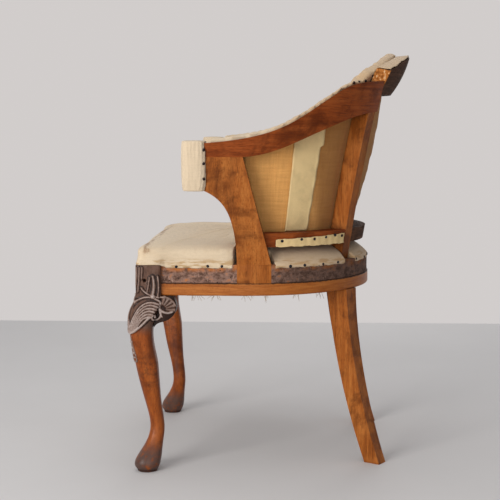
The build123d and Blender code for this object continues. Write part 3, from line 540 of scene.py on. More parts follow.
def puff(mesh, pressure, reach, frames, held=None):
    """Blows a closed cloth up from inside for a few frames and lets no point move further than reach."""
    start = spots_of(mesh)
    work = bpy.data.objects.new("puff", mesh)
    bpy.context.scene.collection.objects.link(work)
    cloth = work.modifiers.new("Cloth", "CLOTH")
    settings = cloth.settings
    settings.quality, settings.mass = 4, 0.25
    settings.tension_stiffness = settings.compression_stiffness = 12.0
    settings.shear_stiffness, settings.bending_stiffness = 4.0, 0.4
    settings.use_pressure, settings.uniform_pressure_force = True, pressure
    settings.effector_weights.gravity = 0.0
    if held is not None:
        group = work.vertex_groups.new(name="tacked")
        group.add([int(i) for i in np.nonzero(held)[0]], 1.0, "REPLACE")
        settings.vertex_group_mass = group.name
    scene = bpy.context.scene
    for step in range(1, frames + 1):
        scene.frame_set(step)
    settled = work.evaluated_get(bpy.context.evaluated_depsgraph_get()).data
    move = spots_of(settled) - start
    scene.frame_set(1)
    far = np.linalg.norm(move, axis=1, keepdims=True)
    move *= np.minimum(1.0, reach / np.maximum(far, 1e-9))
    bpy.data.objects.remove(work)
    put_spots(mesh, start + move)
    return mesh


class ChairSizes(bpy.types.PropertyGroup):
    """Sizes of the dressed pieces that a user may change."""

    carving_depth: bpy.props.FloatProperty(
        name="Carving depth", description="Height of the carved leaves", default=0.0034, unit="LENGTH"
    )
    carving_cell: bpy.props.FloatProperty(
        name="Carving cell", description="Mesh spacing of the carved legs", default=0.0013, unit="LENGTH"
    )
    hem_drop: bpy.props.FloatProperty(
        name="Hem drop", description="How far the seat cover hangs below the rails' top", default=0.0065, unit="LENGTH"
    )
    seat_crown: bpy.props.FloatProperty(
        name="Seat crown", description="Rise of the seat above the rails", default=SEAT_TOP - RAIL_TOP, unit="LENGTH"
    )
    back_bulge: bpy.props.FloatProperty(
        name="Back bulge", description="Swell of the hessian between the stiles", default=0.0170, unit="LENGTH"
    )
    side_bulge: bpy.props.FloatProperty(
        name="Side bulge", description="How far the hessian swells out under the arms", default=0.0040, unit="LENGTH"
    )
    web_width: bpy.props.FloatProperty(
        name="Side web width", description="Width of the upright strap in each side", default=0.0500, unit="LENGTH"
    )
    tack_head: bpy.props.FloatProperty(
        name="Tack head", description="Width of a tack's head", default=0.0064, unit="LENGTH"
    )
    tack_gap: bpy.props.FloatProperty(
        name="Tack gap", description="Spacing of tacks along the seat's hem", default=0.0400, unit="LENGTH"
    )


def colour_property(name, description, default):
    return bpy.props.FloatVectorProperty(
        name=name, description=description, default=default, size=3, min=0.0, max=1.0, subtype="COLOR"
    )


class ChairTones(bpy.types.PropertyGroup):
    """Colours of the chair's woods and cloths, as linear values."""

    walnut_dark: colour_property("Walnut shade", "Darkest streaks of the show wood", (0.100, 0.024, 0.004))
    walnut: colour_property("Walnut", "Body colour of the show wood", (0.300, 0.084, 0.014))
    walnut_light: colour_property("Walnut light", "Palest streaks of the show wood", (0.450, 0.155, 0.032))
    umber_dark: colour_property("Stained shade", "Darkest streaks of the stained crest", (0.022, 0.012, 0.007))
    umber: colour_property("Stained wood", "Body colour of the stained crest", (0.082, 0.040, 0.024))
    umber_light: colour_property("Stained light", "Palest streaks of the stained crest", (0.160, 0.078, 0.046))
    beech_dark: colour_property("Beech shade", "Darkest streaks of the hidden frame", (0.240, 0.110, 0.045))
    beech: colour_property("Beech", "Body colour of the hidden frame", (0.420, 0.225, 0.105))
    beech_light: colour_property("Beech light", "Palest streaks of the hidden frame", (0.560, 0.350, 0.180))
    calico: colour_property("Calico", "Seat and lining cloth", (0.690, 0.545, 0.375))
    hessian: colour_property("Hessian", "Raised threads of the hessian", (0.950, 0.500, 0.155))
    hessian_shade: colour_property("Hessian shade", "Sunk threads of the hessian", (0.560, 0.235, 0.055))
    webbing: colour_property("Side web", "Cream webbing and the wrapped strips", (0.960, 0.700, 0.340))
    jute: colour_property("Seat webbing", "Jute webbing under the seat", (0.430, 0.270, 0.115))


class ChairOperator(bpy.types.Operator):
    """A step that makes one group of the chair's pieces."""

    bl_options = {"REGISTER"}

    def execute(self, context):
        self.make(context.scene.chair_sizes, context.scene.chair_tones)
        return {"FINISHED"}


FLOOR_CORNERS = ((-1.44, -3.0), (4.0, -3.0), (4.0, 3.0), (-1.44, 3.0))
LIT_POINT = Vector((0.0, -0.02, 0.40))
LAMPS = (
    ("window", (2.7, -1.9, 1.15), 1.6, 78.0),
    ("sky", (0.2, -0.2, 2.9), 2.4, 20.0),
    ("room", (3.0, -0.1, 0.5), 1.6, 13.0),
    ("far_wall", (-2.6, 0.5, 1.5), 1.8, 16.0),
)
CAMERA_PLACE = (2.426, 0.043, 0.663)
CAMERA_TURN, CAMERA_TILT = math.radians(2.29), math.radians(6.25)
CAMERA_LENS = 85.46


class CHAIR_OT_stage(ChairOperator):
    """Set the pale floor, the soft lights and the camera at the photograph's angle"""

    bl_idname = "chair.stage"
    bl_label = "Stage"

    def make(self, sizes, tones):
        scene = bpy.context.scene
        scene.view_settings.view_transform = "Standard"
        bm = bmesh.new()
        bm.faces.new([bm.verts.new((x, y, 0.0)) for x, y in FLOOR_CORNERS])
        mesh = bpy.data.meshes.new("floor")
        bm.to_mesh(mesh)
        bm.free()
        finish = Finish("pale_floor")
        mottle = finish.noise(finish.place(), 1.4, 4.0)
        colour = finish.ramp(mottle, (0.3, (0.600, 0.575, 0.555)), (0.7, (0.640, 0.615, 0.595)))
        mesh.materials.append(finish.done(colour, mottle * 0.1 + 0.75))
        floor = bpy.data.objects.new("floor", mesh)
        scene.collection.objects.link(floor)
        self.light_room(scene)
        self.place_camera(scene)

    def light_room(self, scene):
        world = bpy.data.worlds.new("soft_room")
        world.use_nodes = True
        self.pale_room(world.node_tree, (0.90, 0.93, 1.00), 0.38, (0.64, 0.61, 0.60))
        scene.world = world
        for name, place, width, power in LAMPS:
            lamp = bpy.data.lights.new(name, "AREA")
            lamp.shape, lamp.size, lamp.energy = "SQUARE", width, power
            held = bpy.data.objects.new(name, lamp)
            held.location = place
            held.rotation_euler = (LIT_POINT - Vector(place)).to_track_quat("-Z", "Y").to_euler()
            scene.collection.objects.link(held)

    def pale_room(self, tree, light, strength, seen):
        """Lights the room plainly, and shows a pale backdrop to the camera and to what mirrors or sees through."""
        path = tree.nodes.new("ShaderNodeLightPath").outputs
        looks = None
        for name in ("Is Camera Ray", "Is Glossy Ray", "Is Transmission Ray"):
            if looks is None:
                looks = path[name]
                continue
            either = tree.nodes.new("ShaderNodeMath")
            either.operation = "MAXIMUM"
            tree.links.new(looks, either.inputs[0])
            tree.links.new(path[name], either.inputs[1])
            looks = either.outputs[0]
        mixed = tree.nodes.new("ShaderNodeMix")
        mixed.data_type = "RGBA"
        tree.links.new(looks, mixed.inputs[0])
        mixed.inputs[6].default_value = (*(c * strength for c in light), 1.0)
        mixed.inputs[7].default_value = (*seen, 1.0)
        tree.links.new(mixed.outputs[2], tree.nodes["Background"].inputs["Color"])

    def place_camera(self, scene):
        turn, tilt = CAMERA_TURN, CAMERA_TILT
        sight = Vector((-math.cos(turn) * math.cos(tilt), -math.sin(turn) * math.cos(tilt), -math.sin(tilt)))
        lens = bpy.data.cameras.new("camera")
        lens.sensor_width, lens.lens, lens.clip_start = 36.0, CAMERA_LENS, 0.05
        camera = bpy.data.objects.new("camera", lens)
        camera.location = CAMERA_PLACE
        camera.rotation_euler = sight.to_track_quat("-Z", "Y").to_euler()
        scene.collection.objects.link(camera)
        scene.camera = camera


class CHAIR_OT_frame_finishes(ChairOperator):
    """Give the rigid wood, the springs and the screws of the frame their finishes"""

    bl_idname = "chair.frame_finishes"
    bl_label = "Frame finishes"

    def make(self, sizes, tones):
        walnut = (tones.walnut_dark[:], tones.walnut[:], tones.walnut_light[:])
        umber = (tones.umber_dark[:], tones.umber[:], tones.umber_light[:])
        beech = (tones.beech_dark[:], tones.beech[:], tones.beech_light[:])
        ruddy = [tuple(np.array(c) * (0.73, 0.53, 0.55)) for c in walnut]
        end = crest_end() * SEAT_RADIUS
        finishes = {
            show_wood("walnut_upright", "upright", *walnut): ("back_leg", "arm_support", "stile"),
            show_wood("walnut_arm", "hoop", *ruddy, gloss=0.42): ("arm_rail",),
            rail_wood("walnut_rail", walnut): ("side_rail", "back_rail", "front_rail"),
            show_wood("walnut_stuffing", "hoop", *ruddy, gloss=0.5): ("stuffing_rail",),
            show_wood("stained_crest", "hoop", *umber, gloss=0.85, bare=end): ("crest_rail",),
            show_wood("stained_rail", "hoop", *umber, gloss=0.85): ("lower_back_rail",),
            show_wood("frame_beech", "across", *beech, gloss=0.62): ("corner_block", "frame_dowels"),
            steel("spring_steel", (0.30, 0.29, 0.28), (0.16, 0.075, 0.035), 0.42): ("seat_springs", "corner_screws"),
        }
        for material, stems in finishes.items():
            for name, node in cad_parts.items():
                if name.startswith(stems):
                    node.data.materials.clear()
                    node.data.materials.append(material)


def bezier(points, count):
    """Evenly timed points on a cubic curve."""
    t = np.linspace(0.0, 1.0, count)[:, None]
    a, b, c, d = (np.array(p, dtype=float) for p in points)
    return (1 - t) ** 3 * a + 3 * (1 - t) ** 2 * t * b + 3 * (1 - t) * t**2 * c + t**3 * d


def stroke_relief(here, curve, width_from, width_to, height):
    """Height over flat spots of one carved rib: a rounded ridge along a curve, tapering with it."""
    line = bezier(curve, STROKE_STEPS)
    part = np.linspace(0.0, 1.0, STROKE_STEPS)
    best, where = np.full(len(here), 1e9), np.zeros(len(here))
    for a, b, pa, pb in zip(line[:-1], line[1:], part[:-1], part[1:]):
        run = b - a
        along = np.clip(((here - a) @ run) / (run @ run), 0.0, 1.0)
        away = np.linalg.norm(here - a - along[:, None] * run, axis=1)
        nearer = away < best
        best = np.where(nearer, away, best)
        where = np.where(nearer, pa + along * (pb - pa), where)
    width = width_from + (width_to - width_from) * where
    return height * np.sqrt(np.clip(1.0 - (best / width) ** 2, 0.0, 1.0))


def leaf_family(outer, inner, count):
    """Curves spread evenly from one cubic to another."""
    outer, inner = np.array(outer, dtype=float), np.array(inner, dtype=float)
    return [outer + (inner - outer) * part for part in np.linspace(0.0, 1.0, count)]


def knee_relief(here, spread=1.0):
    """Carving on a knee block, in millimetres: here holds the distance back from the arris and the height."""
    total = np.zeros(len(here))
    for curve in leaf_family(LEAF_OUTER, LEAF_INNER, LEAF_RIBS):
        total = np.maximum(total, stroke_relief(here, curve, 2.5 * spread, 1.25 * spread, 1.0))
    for curve, start, end, height in KNEE_STROKES:
        total = np.maximum(total, stroke_relief(here, curve, start * spread, end * spread, height))
    for s, z, radius, height in KNEE_BOSSES:
        away = np.hypot(here[:, 0] - s, here[:, 1] - z) / radius
        total = np.where(away < 1.0, height * np.sqrt(np.clip(1.0 - away**2, 0.0, 1.0)), total)
    for s, z, radius, depth in KNEE_EYES:
        away = np.hypot(here[:, 0] - s, here[:, 1] - z) / radius
        total = total - depth * np.clip(1.0 - away**2, 0.0, 1.0)
    return total


def flute_relief(here, centre, first, last, count, near, far):
    """Scallop flutes that fan out from a centre between two angles, in degrees."""
    away = here - np.array(centre)
    reach = np.hypot(away[:, 0], away[:, 1])
    angle = np.degrees(np.arctan2(away[:, 1], away[:, 0]))
    inside = ease(reach, near, near + 3.0) * ease(reach, far, far - 2.0)
    fan = ease(angle, first - 4.0, first) * ease(angle, last + 4.0, last)
    return inside * fan * np.abs(np.sin((angle - first) / (last - first) * math.pi * count))


STROKE_STEPS = 26
LEAF_RIBS = 6
LEAF_OUTER = ((44, 321), (14, 336), (-5, 304), (-9, 272))
LEAF_INNER = ((29, 299), (17, 301), (7, 289), (1, 271))
KNEE_STROKES = (
    (((29, 299), (19, 292), (8, 276), (-10, 267)), 2.2, 2.6, 1.2),
    (((46, 326), (30, 340), (8, 338), (-6, 318)), 2.2, 2.0, 1.0),
    (((47, 307), (50, 297), (40, 290), (33, 294)), 2.4, 2.0, 1.2),
    (((33, 294), (29, 297), (31, 303), (36, 302)), 2.0, 1.5, 1.1),
    (((3, 390), (3, 375), (2, 360), (0, 340)), 1.7, 1.5, 0.8),
    (((8, 390), (8, 375), (7, 360), (5, 345)), 1.7, 1.5, 0.8),
    (((13, 390), (13, 378), (12, 372), (12, 369)), 1.7, 1.4, 0.7),
    (((33, 374), (36, 362), (36, 350), (32, 338)), 2.4, 3.4, 0.9),
    (((27, 372), (25, 360), (24, 350), (22, 344)), 1.8, 1.4, 0.8),
    (((42, 374), (44, 362), (44, 348), (42, 336)), 1.8, 1.4, 0.8),
    (((12, 352), (16, 344), (26, 338), (44, 334)), 2.0, 1.6, 0.9),
    (((-8, 262), (-6, 245), (2, 228), (3, 215)), 2.6, 1.4, 0.8),
)
KNEE_BOSSES = (
    (33, 336, 5.0, 1.6),
    (36, 299, 2.6, 1.6),
    (-7, 252, 3.6, 1.5),
    (-5, 241, 3.2, 1.3),
    (-2, 231, 2.9, 1.2),
    (0, 222, 2.5, 1.0),
    (2, 214, 2.1, 0.9),
)
KNEE_EYES = ((17.5, 366.0, 3.4, 2.6), (33.5, 298.5, 1.3, 1.0))
EAR_STROKES = (
    (((46, 312), (54, 304), (62, 304), (68, 307)), 2.6, 2.2, 1.3),
    (((44, 334), (56, 337), (68, 333), (74, 318)), 2.0, 1.8, 0.9),
    (((47, 324), (43, 314), (45, 304), (50, 298)), 2.6, 2.0, 1.1),
)


class CHAIR_OT_carved_legs(ChairOperator):
    """Carve the leaf, shell and scrolls of the front knees and their ears"""

    bl_idname = "chair.carved_legs"
    bl_label = "Carved front legs"

    def make(self, sizes, tones):
        walnut = [np.array(c) for c in (tones.walnut_dark, tones.walnut, tones.walnut_light)]
        tinted = (tuple(c * (0.84, 0.66, 0.50)) for c in walnut)
        finish = show_wood("walnut_carved", "upright", *tinted, gloss=0.36, grime_and_shade=0.95, carved=True)
        for side, sign in SIDES:
            leg, nodes = f"front_leg_{side}", (f"knee_ear_side_{side}", f"knee_ear_front_{side}")
            self.carve(leg, sign, finish, sizes)
            for node in nodes:
                self.carve(node, sign, finish, sizes)

    def carve(self, node, sign, finish, sizes):
        mesh = solid_copy(node, sizes.carving_cell)
        spots, normals = spots_of(mesh), normals_of(mesh)
        out = spots[:, 0] * sign - BLOCK_FACE
        fore = BLOCK_FRONT - spots[:, 1]
        here = np.stack([-np.minimum(out, fore), spots[:, 2]], -1) * 1000.0
        side_face = np.where(out > fore, normals[:, 0] * sign, -normals[:, 1])
        facing = ease(side_face, 0.15, 0.6)
        carved = (here[:, 1] > 200.0) & (facing > 0.0)
        relief, tone = np.zeros(len(spots)), np.full(len(spots), 0.4, dtype=np.float32)
        flat = here[carved]
        height, around = knee_relief(flat), knee_relief(flat, 2.2)
        plain = (out < fore)[carved] & (flat[:, 1] > 338.0)
        height[plain] = around[plain] = 0.0
        if node.startswith("knee_ear"):
            shell = flute_relief(flat, (48.0, 312.0), -14.0, 84.0, 5, 7.0, 27.0)
            for curve, start, end, rise in EAR_STROKES:
                height = np.maximum(height, stroke_relief(flat, curve, start, end, rise))
            height = np.maximum(height, shell * 0.8)
            around = np.maximum(around, 0.6)
        relief[carved] = height * facing[carved] * sizes.carving_depth
        groove = ease(around, 0.0, 0.5) * (1.0 - ease(height, 0.0, 0.6))
        # painted highlight lifts the ridges pale; the grooves are darkened, partly dirt and partly painted shade
        tone[carved] += (0.55 * np.clip(height, 0.0, 1.1) - 0.4 * groove) * facing[carved]
        wear = ripple(5, spots[:, 2] * 90.0, here[:, 0] * 0.11) * 0.00022
        put_spots(mesh, spots + normals * (relief + wear)[:, None])
        mesh.attributes.new("carve", "FLOAT", "POINT").data.foreach_set("value", tone)
        link_piece(node + "_carved", mesh, finish, "walnut", node)


def rail_outline(count):
    """The seat's plan as the frame gives it: where rays from its middle leave the rails and front blocks."""
    legs = ("front_leg_left", "front_leg_right")
    rails, blocks = surface_of(*SEAT_HOOP, *legs), surface_of(*legs)
    middle = Vector((0.0, AXIS_Y, RAIL_TOP - 0.004))
    reach, on_block = [], []
    for angle in np.linspace(0.0, 2.0 * math.pi, count, endpoint=False):
        way = Vector((math.cos(angle), math.sin(angle), 0.0))
        hit = rails.ray_cast(middle + way, -way)
        reach.append(1.0 - hit[3])
        near = blocks.ray_cast(middle + way, -way)
        on_block.append(1.0 if near[0] and abs(near[3] - hit[3]) < 1e-4 else 0.0)
    return np.array(reach), np.array(on_block)


def smooth_ring(values, width):
    kernel = np.hanning(width + 2)[1:-1]
    kernel /= kernel.sum()
    half = width // 2
    return np.convolve(np.concatenate([values[-half:], values, values[:half]]), kernel, mode="valid")


def slit_depth(angle, reach, edge):
    """How far cloth on the seat steps in to pass inside the arm supports and the stiles."""
    low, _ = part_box("arm_support_left")
    front, back = SUPPORT_FOOT
    y = edge[:, 1]
    beside = ease(y, front - 0.006, front - 0.001) * ease(y, back + 0.006, back + 0.001)
    inset = beside * (reach - (low[0] - 0.0015) / np.maximum(np.abs(np.cos(angle)), 0.5))
    for turn in (STILE_TURN, math.pi - STILE_TURN):
        near = ease(np.abs(angle - turn) * SEAT_RADIUS, 0.019, 0.014)
        inset = np.maximum(inset, near * (reach - STILE_INNER))
    return np.maximum(inset, 0.0)


class CHAIR_OT_seat_cover(ChairOperator):
    """Stretch the calico over the stuffed seat and down to its tacked hem"""

    bl_idname = "chair.seat_cover"
    bl_label = "Seat cover"

    around = 900

    def make(self, sizes, tones):
        angle = np.linspace(0.0, 2.0 * math.pi, self.around, endpoint=False)
        reach, on_block = rail_outline(self.around)
        full = np.clip(smooth_ring(smooth_ring(reach, 31), 21), reach - 0.005, reach + 0.007)
        full = smooth_ring(full, 15)
        reach = np.minimum(smooth_ring(reach, 11), reach + 0.0004)
        on_block = smooth_ring(on_block, 5)
        edge = np.stack([reach * np.cos(angle), AXIS_Y + reach * np.sin(angle)], -1)
        behind = ease(edge[:, 1], *BEHIND_ARMS)
        inset = slit_depth(angle, reach, edge)
        rows = []
        for inward, rise, low_in, low_rise in SEAT_PROFILE:
            step = inward + (low_in - inward) * behind
            tall = rise + (low_rise - rise) * behind
            rows.append((step, tall))
        step, tall = (np.array(part) for part in zip(*rows))
        tall = tall * np.where(tall > 0.0, sizes.seat_crown, sizes.hem_drop)
        hem = ripple(3, angle * 41.0, angle * 13.0) * 0.0011
        lift = np.clip(np.maximum(on_block, inset / 0.02), 0.0, 1.0)
        low = ease(-tall, -0.0012, 0.0)
        drop = np.minimum(tall, 0.0)
        height = RAIL_TOP + tall - drop * lift + low * (1.0 - lift) * hem
        height = height + lift * 0.0012 * ease(tall, -sizes.hem_drop, 0.0)
        step = step + low * lift * 0.0022
        fullness = ease(height, RAIL_TOP + 0.004, RAIL_TOP + 0.02) * ease(step, 0.10, 0.02)
        step = step + ripple(8, angle * 60.0, height * 90.0) * 0.0004 * fullness
        plan = reach + (full - reach) * ease(tall, 0.02 * sizes.seat_crown, 0.30 * sizes.seat_crown)
        plan = plan + (smooth_ring(smooth_ring(full, 121), 61) - plan) * ease(step, 0.015, 0.11)
        from_middle = np.minimum(plan * (1.0 - step / SEAT_SPAN), plan - inset - step * 0.12)
        height = height + self.creases(angle, from_middle) * ease(step, 0.004, 0.03)
        spots = np.stack(
            [from_middle * np.cos(angle), AXIS_Y + from_middle * np.sin(angle), height], -1
        )
        mesh = grid_mesh("seat_cover", spots, ring=True)
        self.close(mesh, len(rows))
        z = spots_of(mesh)[:, 2]
        puff(mesh, 1.2, 0.0018, 12, held=z < RAIL_TOP + 0.006)
        cover = link_piece("seat_cover", mesh, calico("seat_calico", tones.calico[:]), "calico", "seat_pad")

    def creases(self, angle, from_middle):
        x, y = from_middle * np.cos(angle), AXIS_Y + from_middle * np.sin(angle)
        soft = ripple(21, x * 24.0, y * 30.0) * 0.0011 + ripple(22, x * 70.0 + y * 40.0, y * 85.0 - x * 30.0) * 0.0006
        for (ax, ay), (bx, by), width, depth in SEAT_CREASES:
            run = np.array([bx - ax, by - ay])
            along = np.clip(((x - ax) * run[0] + (y - ay) * run[1]) / (run @ run), 0.0, 1.0)
            away = np.hypot(x - ax - along * run[0], y - ay - along * run[1])
            soft = soft - depth * np.exp(-((away / width) ** 2)) * np.sin(math.pi * along) ** 0.5
        return soft

    def close(self, mesh, rows):
        """Caps the crown with a fan and shuts the underside against the spring hessian."""
        bm = bmesh.new()
        bm.from_mesh(mesh)
        bm.verts.ensure_lookup_table()
        crown = [bm.verts[(rows - 1) * self.around + i] for i in range(self.around)]
        hem = [bm.verts[i] for i in range(self.around)]
        top = bm.verts.new(sum((v.co for v in crown), Vector()) / self.around)
        under = []
        for vert in hem:
            inward = Vector((-vert.co.x, AXIS_Y - vert.co.y, 0.0)).normalized() * 0.0035
            under.append(bm.verts.new((vert.co.x + inward.x, vert.co.y + inward.y, RAIL_TOP + 0.0016)))
        base = bm.verts.new((0.0, AXIS_Y, RAIL_TOP + 0.0020))
        for i in range(self.around):
            j = (i + 1) % self.around
            bm.faces.new((crown[i], crown[j], top))
            bm.faces.new((hem[j], hem[i], under[i], under[j]))
            bm.faces.new((under[j], under[i], base))
        bmesh.ops.recalc_face_normals(bm, faces=bm.faces)
        bm.to_mesh(mesh)
        bm.free()


SEAT_SPAN = 0.24
SUPPORT_FOOT = (-0.071, -0.003)
STILE_TURN = math.radians(57.0)
STILE_INNER = 0.1875
BEHIND_ARMS = (-0.030, 0.004)
SEAT_PROFILE = (
    (-0.0012, -1.0, -0.0012, -1.0),
    (-0.0018, -0.7, -0.0018, -0.7),
    (-0.0018, -0.35, -0.0018, -0.35),
    (-0.0012, 0.02, -0.0006, 0.02),
    (0.0004, 0.09, 0.003, 0.084),
    (0.0004, 0.19, 0.0075, 0.168),
    (-0.0004, 0.31, 0.012, 0.24),
    (-0.0006, 0.43, 0.0165, 0.312),
    (0.0004, 0.51, 0.0205, 0.372),
    (0.0026, 0.57, 0.0245, 0.42),
    (0.006, 0.615, 0.0285, 0.456),
    (0.0105, 0.648, 0.0325, 0.49),
    (0.016, 0.675, 0.037, 0.516),
    (0.023, 0.7, 0.042, 0.54),
    (0.031, 0.725, 0.048, 0.552),
    (0.041, 0.755, 0.056, 0.57),
    (0.053, 0.79, 0.066, 0.6),
    (0.067, 0.825, 0.078, 0.66),
    (0.083, 0.86, 0.092, 0.74),
    (0.1, 0.895, 0.107, 0.82),
    (0.118, 0.925, 0.123, 0.89),
    (0.137, 0.953, 0.14, 0.935),
    (0.157, 0.977, 0.158, 0.965),
    (0.177, 0.992, 0.177, 0.985),
    (0.197, 1.0, 0.197, 0.995),
    (0.215, 1.0, 0.215, 1.0),
)
SEAT_CREASES = (
    ((0.185, -0.170), (0.120, -0.060), 0.0035, 0.0016),
    ((0.150, -0.175), (0.165, -0.120), 0.0045, 0.0018),
    ((-0.100, -0.190), (0.060, -0.130), 0.0060, 0.0012),
    ((-0.180, -0.150), (-0.100, -0.060), 0.0045, 0.0015),
    ((0.215, -0.120), (0.180, -0.050), 0.0040, 0.0016),
    ((0.130, -0.130), (0.150, -0.060), 0.0030, 0.0014),
    ((0.090, -0.100), (0.170, -0.075), 0.0030, 0.0014),
)
BLOCK_FACE = 0.248
BLOCK_FRONT = -0.258


def wall_radius():
    """Heights and radii of the tub wall's inner face, from rays cast at the frame's hessian from behind."""
    wall = surface_of("back_hessian")
    low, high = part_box("back_hessian")
    heights = np.linspace(low[2] + 0.001, high[2] - 0.001, 60)
    hits = [wall.ray_cast(Vector((0.0, 1.0, z)), Vector((0.0, -1.0, 0.0)))[0] for z in heights]
    kept = [(z, hit.y - AXIS_Y) for z, hit in zip(heights, hits) if hit]
    return np.array(kept).T


def tack_line(turn, heights, radii):
    """Where the wall's cloth is tacked off: a little above the underside of the arms and the crest."""
    rails = surface_of("arm_rail_left", "arm_rail_right", "crest_rail")
    line = []
    for t in turn:
        spot = tub(t, np.interp(0.62, heights, radii) + 0.016, 0.48)
        hit = rails.ray_cast(Vector(spot), UP)[0]
        line.append(hit.z if hit else heights[-1] - 0.04)
    return np.array(line) + 0.014


class CHAIR_OT_tub_hessian(ChairOperator):
    """Stretch the hessian round the inside of the tub, swollen out between the frame's members"""

    bl_idname = "chair.tub_hessian"
    bl_label = "Tub hessian"

    def make(self, sizes, tones):
        heights, radii = wall_radius()
        ahead = np.linspace(FRONT_TURN, 0.2, 30)[:-1]
        turn = np.concatenate([ahead, np.linspace(0.2, math.pi - 0.2, 330), (math.pi - ahead)[::-1]])
        top = tack_line(turn, heights, radii)
        part = np.linspace(0.0, 1.0, 110)[:, None]
        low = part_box("back_hessian")[0][2] + 0.002
        height = low + (top - low) * part
        radius = np.interp(height, heights, radii) - 0.0008
        radius = radius + self.swell(turn, height, top, sizes)
        front = self.front_line(height[:, 0])
        bent = np.where(turn < 0.0, turn * (front[:, None] / FRONT_TURN), turn)
        bent = np.where(turn > math.pi, math.pi - (math.pi - turn) * (front[:, None] / FRONT_TURN), bent)
        spots = tub(bent, radius, height)
        cut = np.stack(np.broadcast_arrays(turn * 0.25, height), -1)
        mesh = cloth_shell(grid_mesh("tub_hessian", spots, cut), 0.0010)
        cloth = hessian("hessian_weave", tones.hessian[:], tones.hessian_shade[:])
        sheet = link_piece("tub_hessian", mesh, cloth, "hessian", "back_hessian")

    def front_line(self, heights):
        """The turn at which the cloth ends in front, just inside the hollowed edge of the arm support."""
        support = surface_of("arm_support_left", "arm_rail_left")
        ends, x = [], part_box("arm_support_left")[0][0] + 0.022
        for z in heights:
            hit = support.ray_cast(Vector((x, -0.5, z)), Vector((0.0, 1.0, 0.0)))[0]
            ends.append(hit.y + 0.030 if hit else AXIS_Y)
        ends = np.minimum(np.array(ends), AXIS_Y - 0.006)
        return (ends - AXIS_Y) / SEAT_RADIUS

    def swell(self, turn, height, top, sizes):
        """Bulge between the members, with tight diagonal pulls towards the tacked corners."""
        total = np.zeros(np.broadcast(turn, height).shape)
        rise = np.clip((height - PANEL_FOOT) / (top - 0.014 - PANEL_FOOT), 0.0, 1.0)
        arch = np.sin(math.pi * rise) ** 0.6
        for first, last, bulge in (
            (SIDE_PANEL[0], SIDE_PANEL[1], sizes.side_bulge),
            (BACK_PANEL[0], BACK_PANEL[1], sizes.back_bulge),
            (math.pi - SIDE_PANEL[1], math.pi - SIDE_PANEL[0], sizes.side_bulge),
        ):
            across = np.clip((turn - first) / (last - first), 0.0, 1.0)
            window = np.sin(math.pi * across) ** 0.6 * arch
            pulls = ripple(int(bulge * 1e5), turn * 30.0 + height * 50.0, turn * -22.0 + height * 64.0)
            total = total + window * (bulge + pulls * 0.0011)
        return total


FRONT_TURN = -0.27
PANEL_FOOT = 0.455
SIDE_PANEL = (math.radians(13.0), math.radians(52.5))
BACK_PANEL = (math.radians(61.0), math.radians(119.0))


class CHAIR_OT_back_lining(ChairOperator):
    """Pad the inside of the tub with its calico lining, rolled over the arms and crest"""

    bl_idname = "chair.back_lining"
    bl_label = "Back lining"

    def make(self, sizes, tones):
        mesh = solid_copy("inside_back_pad", 0.0056)
        puff(mesh, 1.5, 0.004, 12, held=self.outward(mesh) > -0.02)
        mesh = shaped(mesh, ("SUBSURF", {"levels": 1, "render_levels": 1}))
        spots, normals = spots_of(mesh), normals_of(mesh)
        inside = ease(self.outward(mesh), 0.0, -0.08)
        turn = np.arctan2(spots[:, 1] - AXIS_Y, spots[:, 0])
        folds = ripple(31, turn * 9.0 + spots[:, 2] * 22.0, turn * 5.0 - spots[:, 2] * 31.0) * 0.0016
        lip = ripple(12, turn * 70.0, spots[:, 2] * 110.0) * 0.0009
        put_spots(mesh, spots + normals * (folds * inside + lip * ease(self.outward(mesh), 0.06, 0.0))[:, None])
        lining = link_piece("back_lining", mesh, calico("lining_calico", tones.calico[:]), "calico", "inside_back_pad")
        self.crest_flap(tones)

    def outward(self, mesh):
        """Above 0 where the mesh faces the hessian, and below 0 where it faces the sitter."""
        spots, normals = spots_of(mesh), normals_of(mesh)
        return spots[:, 0] * normals[:, 0] + (spots[:, 1] - AXIS_Y) * normals[:, 1]

    def crest_flap(self, tones):
        """The lining's raw edge, laid back over the top of the crest rail."""
        crest = surface_of("crest_rail")
        first = crest_end() + 0.012
        spots, cut = [], []
        for turn in np.linspace(first, math.pi - first, 140):
            way = Vector((math.cos(turn), math.sin(turn), 0.0))
            radii = np.arange(0.200, 0.330, 0.001)
            above = Vector((0.0, AXIS_Y, 1.0))
            hits = [crest.ray_cast(above + way * float(r), DOWN)[0] for r in radii]
            peak = max(hit.z for hit in hits if hit)
            top = [(r, hit) for r, hit in zip(radii, hits) if hit and hit.z > peak - 0.012]
            inner, outer = top[0][0], top[-1][0] - 0.0015 + 0.0018 * ripple(26, turn * 40.0)
            row = []
            for part in np.linspace(0.0, 1.0, 12):
                radius = min(inner + (outer - inner) * part, top[-1][0])
                z = float(np.interp(radius, [r for r, _ in top], [hit.z for _, hit in top]))
                lift = 0.0014 + 0.0010 * (1.0 + ripple(27, turn * 60.0, part * 5.0)) * ease(part, 0.3, 1.0)
                row.append((way.x * radius, AXIS_Y + way.y * radius, z + lift))
                cut.append((turn * 0.27, radius))
            spots.append(row)
        spots, cut = np.array(spots), np.array(cut).reshape(140, 12, 2)
        mesh = cloth_shell(grid_mesh("crest_flap", spots, cut), 0.0010)
        flap = link_piece("crest_flap", mesh, calico("flap_calico", tones.calico[:]), "calico")


